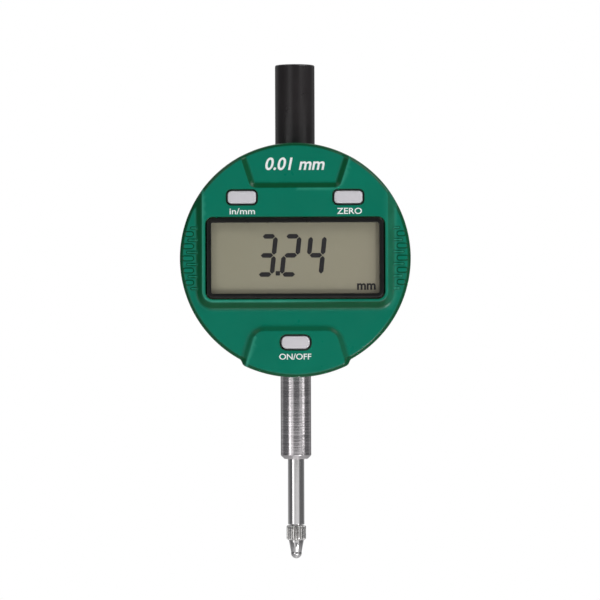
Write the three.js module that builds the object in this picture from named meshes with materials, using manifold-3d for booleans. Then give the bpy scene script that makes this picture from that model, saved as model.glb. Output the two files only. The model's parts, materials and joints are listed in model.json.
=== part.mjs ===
// A digital dial indicator with a 12.7 mm plunger, built as the assembly that comes apart on a bench.
//
// Millimetres, +Z up, the face looks along -Y. Everything is laid out from the centre of the round dial,
// and the finished group is lifted so that its origin is the middle of the stem's clamping length, on the
// plunger's axis.
import * as THREE from "three";
import { mergeVertices } from "three/addons/utils/BufferGeometryUtils.js";
import Module from "manifold-3d";

const wasm = await Module();
wasm.setup();

// ---------------------------------------------------------------- driving dimensions

const CLEARANCE = 0.3; // between pieces that rest on each other
const RUNNING = 0.15; // radial, between a round piece and the hole that it sits or slides in
const FINE = 60; // sides of a large round piece
const ROUND = 20; // sides of a shaft, bush or screw

// Depths along Y, from the face to the back
const PLATEAU_Y = -14.4; // raised panel around the display
const PAD_Y = -13.9; // raised pad under the power button
const RECESS_Y = -13.5; // floor of the keystone recess above the display
const FACE_Y = -13.2; // outer face of the cover beside and below the panel
const COVER_INSIDE_Y = -11.4;
const POCKET_Y = -12.7; // the display's pocket behind the panel
const BOARD_FRONT_Y = -6.2;
const BOARD_BACK_Y = -5.2;
const SPLIT_Y = -5.6; // where the front cover ends
const LEDGE_Y = 5.8; // ring in the rear case that carries the back
const BACK_SEAT_Y = 6.9;
const BACK_Y = 9;

// Radii about the dial's centre
const COVER_R = 30;
const PAD_R = 31;
const CASE_R = 29.5;
const COVER_INSIDE_R = 28;
const CASE_INSIDE_R = 27.5;
const LIP_INSIDE_R = 26.6;
const BACK_R = 25.5;
const LEDGE_R = 22;
const BOARD_R = 26.2;
const RIM = 1.2; // rounding of the cover's front rim

// Raised panel, and the keystone shapes above and below it
const PANEL = { half: 23.85, bottom: -11, corner: 2.4, sideSlope: 1.9, bottomSlope: 2.4 };
const RECESS = { narrowZ: 18.1, wideZ: 25.6, narrowHalf: 11.6, wideHalf: 14, corner: 1.2, slope: 1.7 };
const PAD = { narrowZ: 17.7, wideZ: 25.6, narrowHalf: 11.5, wideHalf: 13.87, corner: 1.4, slope: 0.8 };

// Finger ribs on both sides of the panel: narrow ones that start near it, and broad ones between them
const RIB = {
  count: 11,
  pitch: 1.573,
  height: 0.35,
  narrow: { width: 0.8, innerX: 25.4, outerR: 28.4 },
  broad: { width: 1.25, innerX: 26.3, outerR: 29 },
};

// Display window, its black bezel and what is behind it
const WINDOW = { width: 46.5, height: 21.25, corner: 1.9 };
const BEZEL = {
  width: 45.9,
  height: 20.65,
  corner: 1.6,
  openWidth: 43.6,
  openHeight: 18.4,
  openCorner: 0.5,
};
const LENS = { width: 44.7, height: 19.5, thickness: 1 };
const LCD = { width: 46, height: 21.1, thickness: 2 };
const HOLDER = { width: 49, height: 24.4, wall: 1.1 };
const POCKET = { width: 49.6, height: 25 };

// Push buttons: where each one is, its corner radius and the face that it stands out of
const BUTTON = { width: 7.3, height: 3.2, gap: 0.42, proud: 0.45, travel: 0.6, flange: 0.65 };
const BUTTONS = [
  { name: "units", x: -13.8, z: 15.75, corner: 0.95, faceY: PLATEAU_Y },
  { name: "zero", x: 13.8, z: 15.75, corner: 0.95, faceY: PLATEAU_Y },
  { name: "power", x: 0, z: -21.9, corner: 1.35, faceY: PAD_Y },
];
const SWITCH = { radius: 2, height: 1 };

// Along the plunger's axis, from the dial's centre
const STEM = { radius: 4, bore: 2.7, topZ: -20.5, endZ: -52.7, chamfer: 0.95, setScrewZ: -23.2 };
const STEM_MIDDLE_Z = -41.5; // middle of the clamping length, the part's origin
const SPINDLE = { radius: 2.13, endZ: -69.95, topZ: 32.3 };
const TIP = {
  collarR: 2.55,
  collarEndZ: -74.05,
  coneTopR: 1.95,
  coneEndR: 1.37,
  coneEndZ: -77.6,
  ballR: 1.4,
  ballZ: -77.5,
};
const TIP_SHANK = { radius: 1.15, length: 5 };
const CAP = { radius: 5.2, endZ: 28.9, topZ: 50.9, neckBore: 3.2, bore: 2.8, roof: 1.5, chamfer: 0.4 };
const TOP_BUSH = { radius: 3, endZ: 20.6, topZ: 34.7 };

// Inner frame and the carriage on the plunger
const FRAME = {
  half: 7.5,
  endZ: 26.2,
  frontY: -4.6,
  upperFrontY: -3.5,
  webY: 3.4,
  backY: 5.5,
  lowerZ: -19.7,
  upperZ: 20.8,
};
const CARRIAGE = {
  left: -4,
  right: 7.2,
  bottomZ: -15.2,
  topZ: -5.2,
  frontY: -3.8,
  backY: 3,
  arm: 2,
  screwZ: -12.3,
  screwR: 0.9,
};
const GUIDE = { x: 5.6, radius: 1 };
const SPRING = { x: -5.8, radius: 1.25, wire: 0.2, turns: 12, bottomZ: -19.3, topZ: -7.6 };
const SCALE = { half: 3.2, bottomZ: -19.2, topZ: 12.9, backY: -4.1, thickness: 0.8 };

// Fasteners
const CASE_SCREWS = { x: 10.4, z: 20.5, shank: 1, head: 1.8, boss: 2 };
const BOARD_SCREWS = { x: 19.9, z: 14.4, shank: 0.8, head: 1.7, boss: 1.5 };
const FRAME_SCREWS = { x: 5.7, z: 23.2, shank: 0.8, head: 1.5 };

// Battery, its cover in the back, and the data port in the side of the case
const BATTERY = { x: -16.6, radius: 5.8, frontY: 1, backY: 6.4 };
const BATTERY_HOLDER = { radius: 7, bore: 6.15, frontY: -0.4, floorY: 0.3, backY: 6.5 };
const BATTERY_COVER = {
  radius: 7.2,
  boss: 6.2,
  bossY: 6.7,
  seatY: 7.7,
  backY: 9.25,
  slotWidth: 1.6,
  slotDepth: 0.8,
};
const PORT = {
  frontY: -3.4,
  backY: -0.2,
  half: 4.6,
  pocketFrontY: -4.2,
  pocketBackY: 0.6,
  pocketHalf: 5.7,
  pocketR: 28.3,
};

// Lug on the back
const LUG = {
  half: 2.5,
  holeY: 16.4,
  holeR: 3.25,
  radius: 6.5,
  rootZ: 9,
  footHalf: 7,
  footZ: 10.5,
  footY: 9.8,
};

// ---------------------------------------------------------------- materials

const FINISHES = {
  greenPlastic: { color: 0x0a6e58, roughness: 0.38, metalness: 0 },
  blackPlastic: { color: 0x141414, roughness: 0.5, metalness: 0 },
  blackGloss: { color: 0x1c1a1b, roughness: 0.3, metalness: 0 },
  greyKey: { color: 0xc3c1c6, roughness: 0.6, metalness: 0 },
  clear: { color: 0xf4f6f4, roughness: 0.05, metalness: 0, transparent: true, opacity: 0.3 },
  display: { color: 0x8b8674, roughness: 0.35, metalness: 0 },
  steel: { color: 0xb9b7b8, roughness: 0.22, metalness: 1 },
  hardSteel: { color: 0xd6d5d5, roughness: 0.1, metalness: 1 },
  aluminium: { color: 0xb4b6b8, roughness: 0.4, metalness: 1 },
  zinc: { color: 0x8f9193, roughness: 0.5, metalness: 1 },
  brass: { color: 0xb8924a, roughness: 0.35, metalness: 1 },
  board: { color: 0x1d5a3a, roughness: 0.55, metalness: 0 },
  rubber: { color: 0x202020, roughness: 0.85, metalness: 0 },
};

const finish = (name) => new THREE.MeshStandardMaterial(FINISHES[name]);

// ---------------------------------------------------------------- solids

/** A closed three.js geometry as a manifold-3d solid. */
function solid(geometry) {
  const plain = geometry.index ? geometry.toNonIndexed() : geometry.clone();
  plain.deleteAttribute("normal");
  plain.deleteAttribute("uv");
  const merged = mergeVertices(plain, 1e-4);
  const index = merged.index.array;
  const triVerts = [];
  for (let i = 0; i < index.length; i += 3) {
    const [a, b, c] = [index[i], index[i + 1], index[i + 2]];
    if (a !== b && b !== c && c !== a) triVerts.push(a, b, c);
  }
  const vertProperties = merged.attributes.position.array;
  const mesh = new wasm.Mesh({ numProp: 3, vertProperties, triVerts: new Uint32Array(triVerts) });
  return new wasm.Manifold(mesh);
}

/** A manifold-3d solid as a named mesh in its own material. */
function piece(name, finishName, shape) {
  const { vertProperties, triVerts } = shape.getMesh();
  const geometry = new THREE.BufferGeometry();
  geometry.setAttribute("position", new THREE.BufferAttribute(new Float32Array(vertProperties), 3));
  geometry.setIndex(new THREE.BufferAttribute(new Uint32Array(triVerts), 1));
  geometry.computeVertexNormals();
  const mesh = new THREE.Mesh(geometry, finish(finishName));
  mesh.name = name;
  return mesh;
}

const joined = (first, ...rest) => rest.reduce((sum, next) => sum.add(next), first);
const without = (first, ...cutters) => cutters.reduce((left, cutter) => left.subtract(cutter), first);

/** A box between two values on each axis. */
function box([x0, x1], [y0, y1], [z0, z1]) {
  const geometry = new THREE.BoxGeometry(x1 - x0, y1 - y0, z1 - z0);
  return solid(geometry.translate((x0 + x1) / 2, (y0 + y1) / 2, (z0 + z1) / 2));
}

/**
 * A profile of [radius, y] points turned about the Y axis through x, z. The profile starts and ends on the
 * axis, or closes on itself, and runs so that its left side is inside.
 */
function turnedY(profile, sides = FINE, x = 0, z = 0) {
  const points = profile.map(([r, y]) => new THREE.Vector2(r, y));
  return solid(new THREE.LatheGeometry(points, sides).translate(x, 0, z));
}

/** The same about the vertical axis through x, y, from [radius, z] points. */
function turnedZ(profile, sides = ROUND, x = 0, y = 0) {
  const points = profile.map(([r, z]) => new THREE.Vector2(r, z));
  return solid(new THREE.LatheGeometry(points, sides).rotateX(Math.PI / 2).translate(x, y, 0));
}

const rodY = (radius, y0, y1, x = 0, z = 0, sides = ROUND) =>
  turnedY([[0, y0], [radius, y0], [radius, y1], [0, y1]], sides, x, z);
const rodZ = (radius, z0, z1, x = 0, y = 0, sides = ROUND) =>
  turnedZ([[0, z0], [radius, z0], [radius, z1], [0, z1]], sides, x, y);
const tubeZ = (outer, inner, z0, z1, sides = ROUND) =>
  turnedZ([[inner, z0], [outer, z0], [outer, z1], [inner, z1], [inner, z0]], sides);

/**
 * A solid through outlines of the same number of (x, z) points, each at its own y, from the back to the
 * front.
 */
function lofted(rings) {
  const count = rings[0].outline.length;
  const position = rings.flatMap(({ outline, y }) => outline.flatMap((p) => [p.x, y, p.y]));
  const index = [];
  for (let ring = 0; ring + 1 < rings.length; ring += 1) {
    for (let i = 0; i < count; i += 1) {
      const [a, b] = [ring * count + i, ring * count + ((i + 1) % count)];
      index.push(a, b, b + count, a, b + count, a + count);
    }
  }
  const front = (rings.length - 1) * count;
  for (const [a, b, c] of THREE.ShapeUtils.triangulateShape(rings[0].outline, [])) index.push(a, c, b);
  for (const [a, b, c] of THREE.ShapeUtils.triangulateShape(rings[rings.length - 1].outline, [])) {
    index.push(front + a, front + b, front + c);
  }
  const geometry = new THREE.BufferGeometry();
  geometry.setAttribute("position", new THREE.Float32BufferAttribute(position, 3));
  return solid(geometry.setIndex(index));
}

const plate = (outline, backY, frontY) => lofted([{ outline, y: backY }, { outline, y: frontY }]);

/** Points on an arc about x, z, from one angle to another in degrees. */
function arc(x, z, radius, from, to, steps) {
  const point = (step) => {
    const angle = THREE.MathUtils.degToRad(from + ((to - from) * step) / steps);
    return new THREE.Vector2(x + radius * Math.cos(angle), z + radius * Math.sin(angle));
  };
  return Array.from({ length: steps + 1 }, (_, step) => point(step));
}

/** A rounded rectangle as an anticlockwise outline in x, z. */
function roundedRect(width, height, corner, x = 0, z = 0, steps = 5) {
  const [u, v] = [width / 2 - corner, height / 2 - corner];
  return [
    ...arc(x + u, z - v, corner, -90, 0, steps),
    ...arc(x + u, z + v, corner, 0, 90, steps),
    ...arc(x - u, z + v, corner, 90, 180, steps),
    ...arc(x - u, z - v, corner, 180, 270, steps),
  ];
}

/** Copies of a piece at (x, z), (-x, z), (x, -z) and (-x, -z). */
const fourfold = ({ x, z }) => [[x, z], [-x, z], [x, -z], [-x, -z]];

/** A flat-headed screw along Y with a cross recess, its head at the headY end. */
function screw({ x, z, shank, head, headY, seatY, endY }) {
  const outward = Math.sign(headY - seatY);
  const parts = [rodY(shank, Math.min(seatY, endY), Math.max(seatY, endY), x, z, 10)];
  parts.push(rodY(head, Math.min(headY, seatY), Math.max(headY, seatY), x, z, 16));
  const recess = [headY - 0.6 * outward, headY + outward].sort((a, b) => a - b);
  const [arm, blade] = [head * 0.6, head * 0.14];
  return without(
    joined(...parts),
    box([x - arm, x + arm], recess, [z - blade, z + blade]),
    box([x - blade, x + blade], recess, [z - arm, z + arm]),
  );
}

// ---------------------------------------------------------------- front cover

/** Outline of the raised panel: straight sides and bottom, and the cover's own circle above. */
function panelOutline(sideOut, bottomOut, radius) {
  const half = PANEL.half + sideOut;
  const bottom = PANEL.bottom - bottomOut;
  const corner = PANEL.corner + Math.min(sideOut, bottomOut);
  const meet = THREE.MathUtils.radToDeg(Math.acos(half / radius));
  return [
    ...arc(half - corner, bottom + corner, corner, -90, 0, 5),
    ...arc(0, 0, radius, meet, 180 - meet, 24),
    ...arc(-half + corner, bottom + corner, corner, 180, 270, 5),
  ];
}

function raisedPanel() {
  return lofted([
    { outline: panelOutline(PANEL.sideSlope, PANEL.bottomSlope, COVER_R - 0.01), y: FACE_Y + RIM },
    { outline: panelOutline(PANEL.sideSlope, PANEL.bottomSlope, COVER_R - 0.01), y: FACE_Y + 0.01 },
    { outline: panelOutline(0, 0, COVER_R - 0.8), y: PLATEAU_Y },
  ]);
}

/** Half-width of a keystone at a height z, grown outwards all round. */
function keystoneHalf(shape, z, grown) {
  const lean = (shape.wideHalf - shape.narrowHalf) / (shape.wideZ - shape.narrowZ);
  return shape.narrowHalf + lean * (z - shape.narrowZ) + grown * Math.hypot(1, lean);
}

/** Keystone outline that widens upwards, closed above by an arc of that radius about the dial's centre. */
function keystoneOutline(shape, grown, radius) {
  const narrowZ = shape.narrowZ - grown;
  const half = keystoneHalf(shape, narrowZ, grown);
  let side = keystoneHalf(shape, radius, grown);
  for (let pass = 0; pass < 20; pass += 1) {
    side = keystoneHalf(shape, Math.sqrt(radius ** 2 - side ** 2), grown);
  }
  const meet = THREE.MathUtils.radToDeg(Math.acos(side / radius));
  return [
    ...arc(half - shape.corner, narrowZ + shape.corner, shape.corner, -90, -15, 4),
    ...arc(0, 0, radius, meet, 180 - meet, 16),
    ...arc(-half + shape.corner, narrowZ + shape.corner, shape.corner, 195, 270, 4),
  ];
}

const upsideDown = (outline) => outline.map((p) => new THREE.Vector2(-p.x, -p.y));

function keystoneRecess() {
  const above = COVER_R + 4;
  return lofted([
    { outline: keystoneOutline(RECESS, -RECESS.slope, above), y: RECESS_Y },
    { outline: keystoneOutline(RECESS, 0, above), y: PLATEAU_Y },
    { outline: keystoneOutline(RECESS, 0, above), y: PLATEAU_Y - 1 },
  ]);
}

function keystonePad() {
  return lofted([
    { outline: upsideDown(keystoneOutline(PAD, 0, PAD_R)), y: SPLIT_Y },
    { outline: upsideDown(keystoneOutline(PAD, 0, PAD_R)), y: FACE_Y },
    { outline: upsideDown(keystoneOutline(PAD, -PAD.slope, PAD_R - PAD.slope)), y: PAD_Y },
  ]);
}

/** Ribs on one side: narrow and broad ones in turn, the outer ends of each kind on a circle. */
function fingerRibs(side) {
  return Array.from({ length: RIB.count }, (_, i) => {
    const z = (i - (RIB.count - 1) / 2) * RIB.pitch;
    const { width, innerX, outerR } = i % 2 === 0 ? RIB.narrow : RIB.broad;
    const outer = Math.sqrt(outerR ** 2 - z ** 2);
    const centre = (side * (innerX + outer)) / 2;
    const foot = roundedRect(outer - innerX, width, width / 2 - 0.01, centre, z, 2);
    const crest = roundedRect(outer - innerX - 0.4, width - 0.4, width / 2 - 0.21, centre, z, 2);
    return lofted([{ outline: foot, y: FACE_Y + 0.1 }, { outline: crest, y: FACE_Y - RIB.height }]);
  });
}

function frontCover() {
  const disc = turnedY([
    [0, FACE_Y], [COVER_R - RIM, FACE_Y],
    [COVER_R - 0.3 * RIM, FACE_Y + 0.3 * RIM], [COVER_R, FACE_Y + RIM],
    [COVER_R, SPLIT_Y], [0, SPLIT_Y],
  ]);
  const inside = rodY(COVER_INSIDE_R, COVER_INSIDE_Y, SPLIT_Y + 1, 0, 0, FINE);
  const pocket = plate(roundedRect(POCKET.width, POCKET.height, 1), COVER_INSIDE_Y + 1, POCKET_Y);
  const opening = plate(roundedRect(WINDOW.width, WINDOW.height, WINDOW.corner), POCKET_Y + 1, PLATEAU_Y - 1);
  const keyholes = BUTTONS.map(({ x, z, corner }) =>
    plate(
      roundedRect(BUTTON.width + 2 * BUTTON.gap, BUTTON.height + 2 * BUTTON.gap, corner + BUTTON.gap, x, z),
      COVER_INSIDE_Y + 1,
      PLATEAU_Y - 1,
    ),
  );
  const bosses = [CASE_SCREWS, BOARD_SCREWS].flatMap((set) =>
    fourfold(set).map(([x, z]) => {
      const end = set === CASE_SCREWS ? SPLIT_Y - CLEARANCE : BOARD_FRONT_Y - CLEARANCE;
      const post = rodY(set.boss, COVER_INSIDE_Y - 0.6, end, x, z, 16);
      return post.subtract(rodY(set.shank + RUNNING, COVER_INSIDE_Y, end + 1, x, z, 12));
    }),
  );
  const outer = joined(disc, raisedPanel(), keystonePad(), ...fingerRibs(1), ...fingerRibs(-1));
  const shell = without(outer, inside, pocket, opening, keystoneRecess(), ...keyholes);
  return joined(shell, ...bosses);
}

// ---------------------------------------------------------------- rear case and back

function rearCase() {
  const lipR = COVER_INSIDE_R - CLEARANCE;
  const frontY = SPLIT_Y + CLEARANCE;
  const shell = turnedY([
    [LIP_INSIDE_R, SPLIT_Y - 0.6], [lipR, SPLIT_Y - 0.6], [lipR, frontY], [CASE_R, frontY],
    [CASE_R, BACK_Y - 1.8], [CASE_R - 0.6, BACK_Y - 0.6], [CASE_R - 1.8, BACK_Y],
    [BACK_R + CLEARANCE, BACK_Y], [BACK_R + CLEARANCE, BACK_SEAT_Y],
    [LEDGE_R, BACK_SEAT_Y], [LEDGE_R, LEDGE_Y], [CASE_INSIDE_R, LEDGE_Y], [CASE_INSIDE_R, frontY + 0.4],
    [LIP_INSIDE_R, frontY + 0.4], [LIP_INSIDE_R, SPLIT_Y - 0.6],
  ]);
  const holes = [
    rodZ(STEM.radius + RUNNING, -CASE_R - 1, -20, 0, 0),
    rodZ(TOP_BUSH.radius + RUNNING, 20, CASE_R + 1),
    rodZ(CAP.radius + CLEARANCE, CAP.endZ - CLEARANCE, CASE_R + 1),
    box([20, 32], [PORT.frontY, PORT.backY], [-PORT.half, PORT.half]),
    box([20, 32], [PORT.pocketFrontY, PORT.pocketBackY], [-PORT.pocketHalf, PORT.pocketHalf]).subtract(
      rodY(PORT.pocketR, -20, 20, 0, 0, FINE),
    ),
    rodY(BATTERY_HOLDER.radius + CLEARANCE, LEDGE_Y - 1, BACK_SEAT_Y + 1, BATTERY.x, 0, 36),
    ...fourfold(FRAME_SCREWS).map(([x, z]) =>
      rodY(FRAME_SCREWS.shank + RUNNING, LEDGE_Y - 1, BACK_SEAT_Y + 1, x, z, 12)),
  ];
  const bosses = fourfold(CASE_SCREWS).map(([x, z]) =>
    rodY(CASE_SCREWS.boss, SPLIT_Y + CLEARANCE, BACK_SEAT_Y, x, z, 16));
  const screwHoles = fourfold(CASE_SCREWS).map(([x, z]) =>
    rodY(CASE_SCREWS.shank + RUNNING, -20, 20, x, z, 12));
  return without(joined(shell, ...bosses), ...holes, ...screwHoles);
}

/** The lug's side view, in y and z, extruded across x. */
function lugPlate() {
  const shape = new THREE.Shape();
  shape.moveTo(BACK_Y - 1, -LUG.rootZ);
  shape.lineTo(BACK_Y + 0.5, -LUG.rootZ);
  const tangent = -1.15;
  shape.absarc(LUG.holeY, 0, LUG.radius, tangent, -tangent, false);
  shape.lineTo(BACK_Y + 0.5, LUG.rootZ);
  shape.lineTo(BACK_Y - 1, LUG.rootZ);
  const hole = new THREE.Path();
  hole.absarc(LUG.holeY, 0, LUG.holeR, 0, 2 * Math.PI, true);
  shape.holes.push(hole);
  const chamfer = 0.4;
  const geometry = new THREE.ExtrudeGeometry(shape, {
    depth: 2 * (LUG.half - chamfer),
    curveSegments: 24,
    bevelThickness: chamfer,
    bevelSize: chamfer,
    bevelOffset: -chamfer,
    bevelSegments: 1,
  });
  geometry.translate(0, 0, -LUG.half + chamfer);
  const yzx = new THREE.Matrix4().makeBasis(
    new THREE.Vector3(0, 1, 0),
    new THREE.Vector3(0, 0, 1),
    new THREE.Vector3(1, 0, 0),
  );
  return solid(geometry.applyMatrix4(yzx));
}

function lugBack() {
  const frontY = BACK_SEAT_Y + CLEARANCE;
  const disc = turnedY([
    [0, frontY], [BACK_R, frontY], [BACK_R, BACK_Y - 0.4], [BACK_R - 0.4, BACK_Y], [0, BACK_Y],
  ]);
  const foot = lofted([
    { outline: roundedRect(2 * LUG.footHalf - 1.2, 2 * LUG.footZ - 1.2, 1.4), y: LUG.footY },
    { outline: roundedRect(2 * LUG.footHalf, 2 * LUG.footZ, 2), y: BACK_Y - 0.5 },
  ]);
  const screwHoles = fourfold(CASE_SCREWS).flatMap(([x, z]) => [
    rodY(CASE_SCREWS.shank + RUNNING, frontY - 1, BACK_Y + 1, x, z, 12),
    rodY(CASE_SCREWS.head + RUNNING, BACK_Y - 1.2, BACK_Y + 1, x, z, 20),
  ]);
  return without(
    joined(disc, foot, lugPlate()),
    ...screwHoles,
    rodY(BATTERY_COVER.boss + CLEARANCE, frontY - 1, BACK_Y + 3, BATTERY.x, 0, 36),
    rodY(BATTERY_COVER.radius + CLEARANCE, BATTERY_COVER.seatY, BACK_Y + 3, BATTERY.x, 0, 36),
  );
}

function caseScrews() {
  return fourfold(CASE_SCREWS).map(([x, z], i) =>
    piece(`case_screw_${i + 1}`, "steel",
      screw({ ...CASE_SCREWS, x, z, headY: BACK_Y - 0.15, seatY: BACK_Y - 1.1, endY: COVER_INSIDE_Y + 1.4 })),
  );
}

// ---------------------------------------------------------------- display and electronics

function displayBezel() {
  const outer = plate(roundedRect(BEZEL.width, BEZEL.height, BEZEL.corner), POCKET_Y - 0.2, PLATEAU_Y - 0.05);
  const hole = roundedRect(BEZEL.openWidth, BEZEL.openHeight, BEZEL.openCorner);
  const opening = plate(hole, POCKET_Y + 1, PLATEAU_Y - 1);
  const rebate = plate(roundedRect(LENS.width + 0.3, LENS.height + 0.3, 0.6), POCKET_Y + 1, PLATEAU_Y + 0.4);
  return without(outer, opening, rebate);
}

function displayLens() {
  const frontY = PLATEAU_Y + 0.4 + RUNNING;
  return plate(roundedRect(LENS.width, LENS.height, 0.5), frontY + LENS.thickness, frontY);
}

/** The liquid crystal cell: a front glass, and a rear glass short of it at the contact edges. */
function lcdPanel() {
  const frontY = POCKET_Y + RUNNING;
  const middle = frontY + LCD.thickness / 2;
  return joined(
    plate(roundedRect(LCD.width, LCD.height, 0.3, 0, 0, 2), middle, frontY),
    plate(roundedRect(LCD.width - 1.4, LCD.height - 5.4, 0.3, 0, 0, 2), frontY + LCD.thickness, middle - 0.1),
  );
}

function lcdHolder() {
  const { width, height, wall } = HOLDER;
  const ring = plate(roundedRect(width, height, 0.8), BOARD_FRONT_Y - CLEARANCE, POCKET_Y + 0.15);
  return ring.subtract(plate(roundedRect(width - 2 * wall, height - 2 * wall, 0.4, 0, 0, 2), 0, -20));
}

/** Elastomer strips that carry the display's signals between glass and board. */
function contactStrips() {
  const z = LCD.height / 2 - 1.3;
  const glassBackY = POCKET_Y + RUNNING + LCD.thickness / 2;
  const depth = [glassBackY + CLEARANCE, BOARD_FRONT_Y - CLEARANCE];
  return [["top", z], ["bottom", -z]].map(([name, at]) =>
    piece(`contact_strip_${name}`, "rubber", box([-21.2, 21.2], depth, [at - 0.9, at + 0.9])),
  );
}

function mainBoard() {
  const disc = rodY(BOARD_R, BOARD_FRONT_Y, BOARD_BACK_Y, 0, 0, FINE);
  const notches = fourfold(CASE_SCREWS).map(([x, z]) =>
    rodY(CASE_SCREWS.boss + CLEARANCE, -20, 20, x, z, 16));
  const holes = fourfold(BOARD_SCREWS).map(([x, z]) =>
    rodY(BOARD_SCREWS.shank + RUNNING, -20, 20, x, z, 12));
  return without(disc, ...notches, ...holes);
}

function controllerChip() {
  const y = BOARD_FRONT_Y - 0.1;
  return turnedY([[0, y - 1.2], [2.2, y - 1.05], [4.2, y - 0.5], [4.8, y], [0, y]], 28);
}

function domeSwitch(x, z) {
  const y = BOARD_FRONT_Y - 0.1;
  const { radius, height } = SWITCH;
  const profile = [
    [0, y - height], [radius * 0.55, y - 0.85 * height], [radius * 0.95, y - 0.3 * height],
    [radius, y], [0, y],
  ];
  return turnedY(profile, 20, x, z);
}

/** A key: the cap that shows, a flange that keeps it in the cover, and a plunger over its switch. */
function button({ x, z, corner, faceY }) {
  const frontY = faceY - BUTTON.proud;
  const soft = 0.25;
  const outline = roundedRect(BUTTON.width, BUTTON.height, corner, x, z);
  const face = roundedRect(BUTTON.width - 2 * soft, BUTTON.height - 2 * soft, corner - soft, x, z);
  const cap = lofted([
    { outline, y: COVER_INSIDE_Y + 0.4 },
    { outline, y: frontY + soft },
    { outline: face, y: frontY },
  ]);
  const flangeWidth = BUTTON.width + 2 * BUTTON.flange;
  const flangeHeight = BUTTON.height + 2 * BUTTON.flange;
  const flangeOutline = roundedRect(flangeWidth, flangeHeight, 1, x, z, 3);
  const flange = plate(flangeOutline, COVER_INSIDE_Y + 1, COVER_INSIDE_Y + 0.2);
  const switchTopY = BOARD_FRONT_Y - 0.1 - SWITCH.height;
  const plunger = rodY(1.3, COVER_INSIDE_Y, switchTopY - BUTTON.travel - 0.15, x, z, 20);
  return joined(cap, flange, plunger);
}

function boardScrews() {
  const seatY = BOARD_BACK_Y + 0.1;
  return fourfold(BOARD_SCREWS).map(([x, z], i) =>
    piece(`board_screw_${i + 1}`, "steel",
      screw({ ...BOARD_SCREWS, x, z, headY: seatY + 1, seatY, endY: COVER_INSIDE_Y + 1.6 })),
  );
}

function electronics() {
  return [
    piece("main_board", "board", mainBoard()),
    piece("controller_chip", "blackPlastic", controllerChip()),
    ...BUTTONS.map(({ name, x, z }) => piece(`switch_${name}`, "steel", domeSwitch(x, z))),
    ...boardScrews(),
    piece("display_bezel", "blackPlastic", displayBezel()),
    piece("display_lens", "clear", displayLens()),
    piece("lcd_panel", "display", lcdPanel()),
    piece("lcd_holder", "blackPlastic", lcdHolder()),
    ...contactStrips(),
  ];
}

// ---------------------------------------------------------------- frame, stem and bushes

function innerFrame() {
  const across = [-FRAME.half, FRAME.half];
  const blocks = [
    box(across, [FRAME.webY, FRAME.backY], [-FRAME.endZ, FRAME.endZ]),
    box(across, [FRAME.frontY, FRAME.backY], [-FRAME.endZ, FRAME.lowerZ]),
    box(across, [FRAME.upperFrontY, FRAME.backY], [FRAME.upperZ, FRAME.endZ]),
  ];
  const screwHoles = fourfold(FRAME_SCREWS).flatMap(([x, z]) => {
    const frontY = z > 0 ? FRAME.upperFrontY : FRAME.frontY;
    return [
      rodY(FRAME_SCREWS.shank + RUNNING, -20, 20, x, z, 12),
      rodY(FRAME_SCREWS.head + RUNNING, frontY - 1, frontY + 1.4, x, z, 16),
    ];
  });
  return without(
    joined(...blocks),
    ...screwHoles,
    rodZ(STEM.radius + RUNNING, -30, FRAME.lowerZ + 1),
    rodZ(TOP_BUSH.radius + RUNNING, FRAME.upperZ - 1, 30),
    rodZ(GUIDE.radius + RUNNING, FRAME.lowerZ - 1.3, FRAME.upperZ + 1.3, GUIDE.x, 0, 20),
    rodY(1.65, STEM.radius, 10, 0, STEM.setScrewZ, 20),
  );
}

function frameScrews() {
  return fourfold(FRAME_SCREWS).map(([x, z], i) => {
    const seatY = (z > 0 ? FRAME.upperFrontY : FRAME.frontY) + 1.2;
    return piece(`frame_screw_${i + 1}`, "steel",
      screw({ ...FRAME_SCREWS, x, z, headY: seatY - 1, seatY, endY: BACK_SEAT_Y - 0.3 }));
  });
}

function stemTube() {
  const { radius, bore, endZ, topZ, chamfer } = STEM;
  return turnedZ([
    [bore, endZ], [radius - chamfer, endZ],
    [radius - 0.35 * chamfer, endZ + 0.35 * chamfer], [radius, endZ + chamfer],
    [radius, topZ], [bore, topZ], [bore, endZ],
  ], 48);
}

const stemBush = (z0, z1) => tubeZ(STEM.bore - 0.1, SPINDLE.radius + RUNNING, z0, z1);

/** Rubber ring that the carriage rests on. */
const bumperRing = () =>
  tubeZ(3.1, SPINDLE.radius + CLEARANCE, FRAME.lowerZ + CLEARANCE, CARRIAGE.bottomZ - CLEARANCE);

/** Upper bush, whose neck stands out of the case and carries the cap. */
const topBush = () => tubeZ(TOP_BUSH.radius, SPINDLE.radius + RUNNING, TOP_BUSH.endZ, TOP_BUSH.topZ);

class Helix extends THREE.Curve {
  constructor({ x, radius, turns, bottomZ, topZ }) {
    super();
    Object.assign(this, { x, radius, turns, bottomZ, topZ });
  }

  getPoint(t, target = new THREE.Vector3()) {
    const angle = 2 * Math.PI * this.turns * t;
    const z = THREE.MathUtils.lerp(this.bottomZ, this.topZ, t);
    return target.set(this.x + this.radius * Math.cos(angle), this.radius * Math.sin(angle), z);
  }
}

/** Extension spring that pulls the carriage down, as a wire along a helix. */
function tensionSpring() {
  const section = new THREE.Shape(arc(0, 0, SPRING.wire, 0, 270, 3));
  const wireRoom = { ...SPRING, bottomZ: SPRING.bottomZ + SPRING.wire, topZ: SPRING.topZ - SPRING.wire };
  const steps = SPRING.turns * 9;
  return solid(new THREE.ExtrudeGeometry(section, { extrudePath: new Helix(wireRoom), steps }));
}

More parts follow.
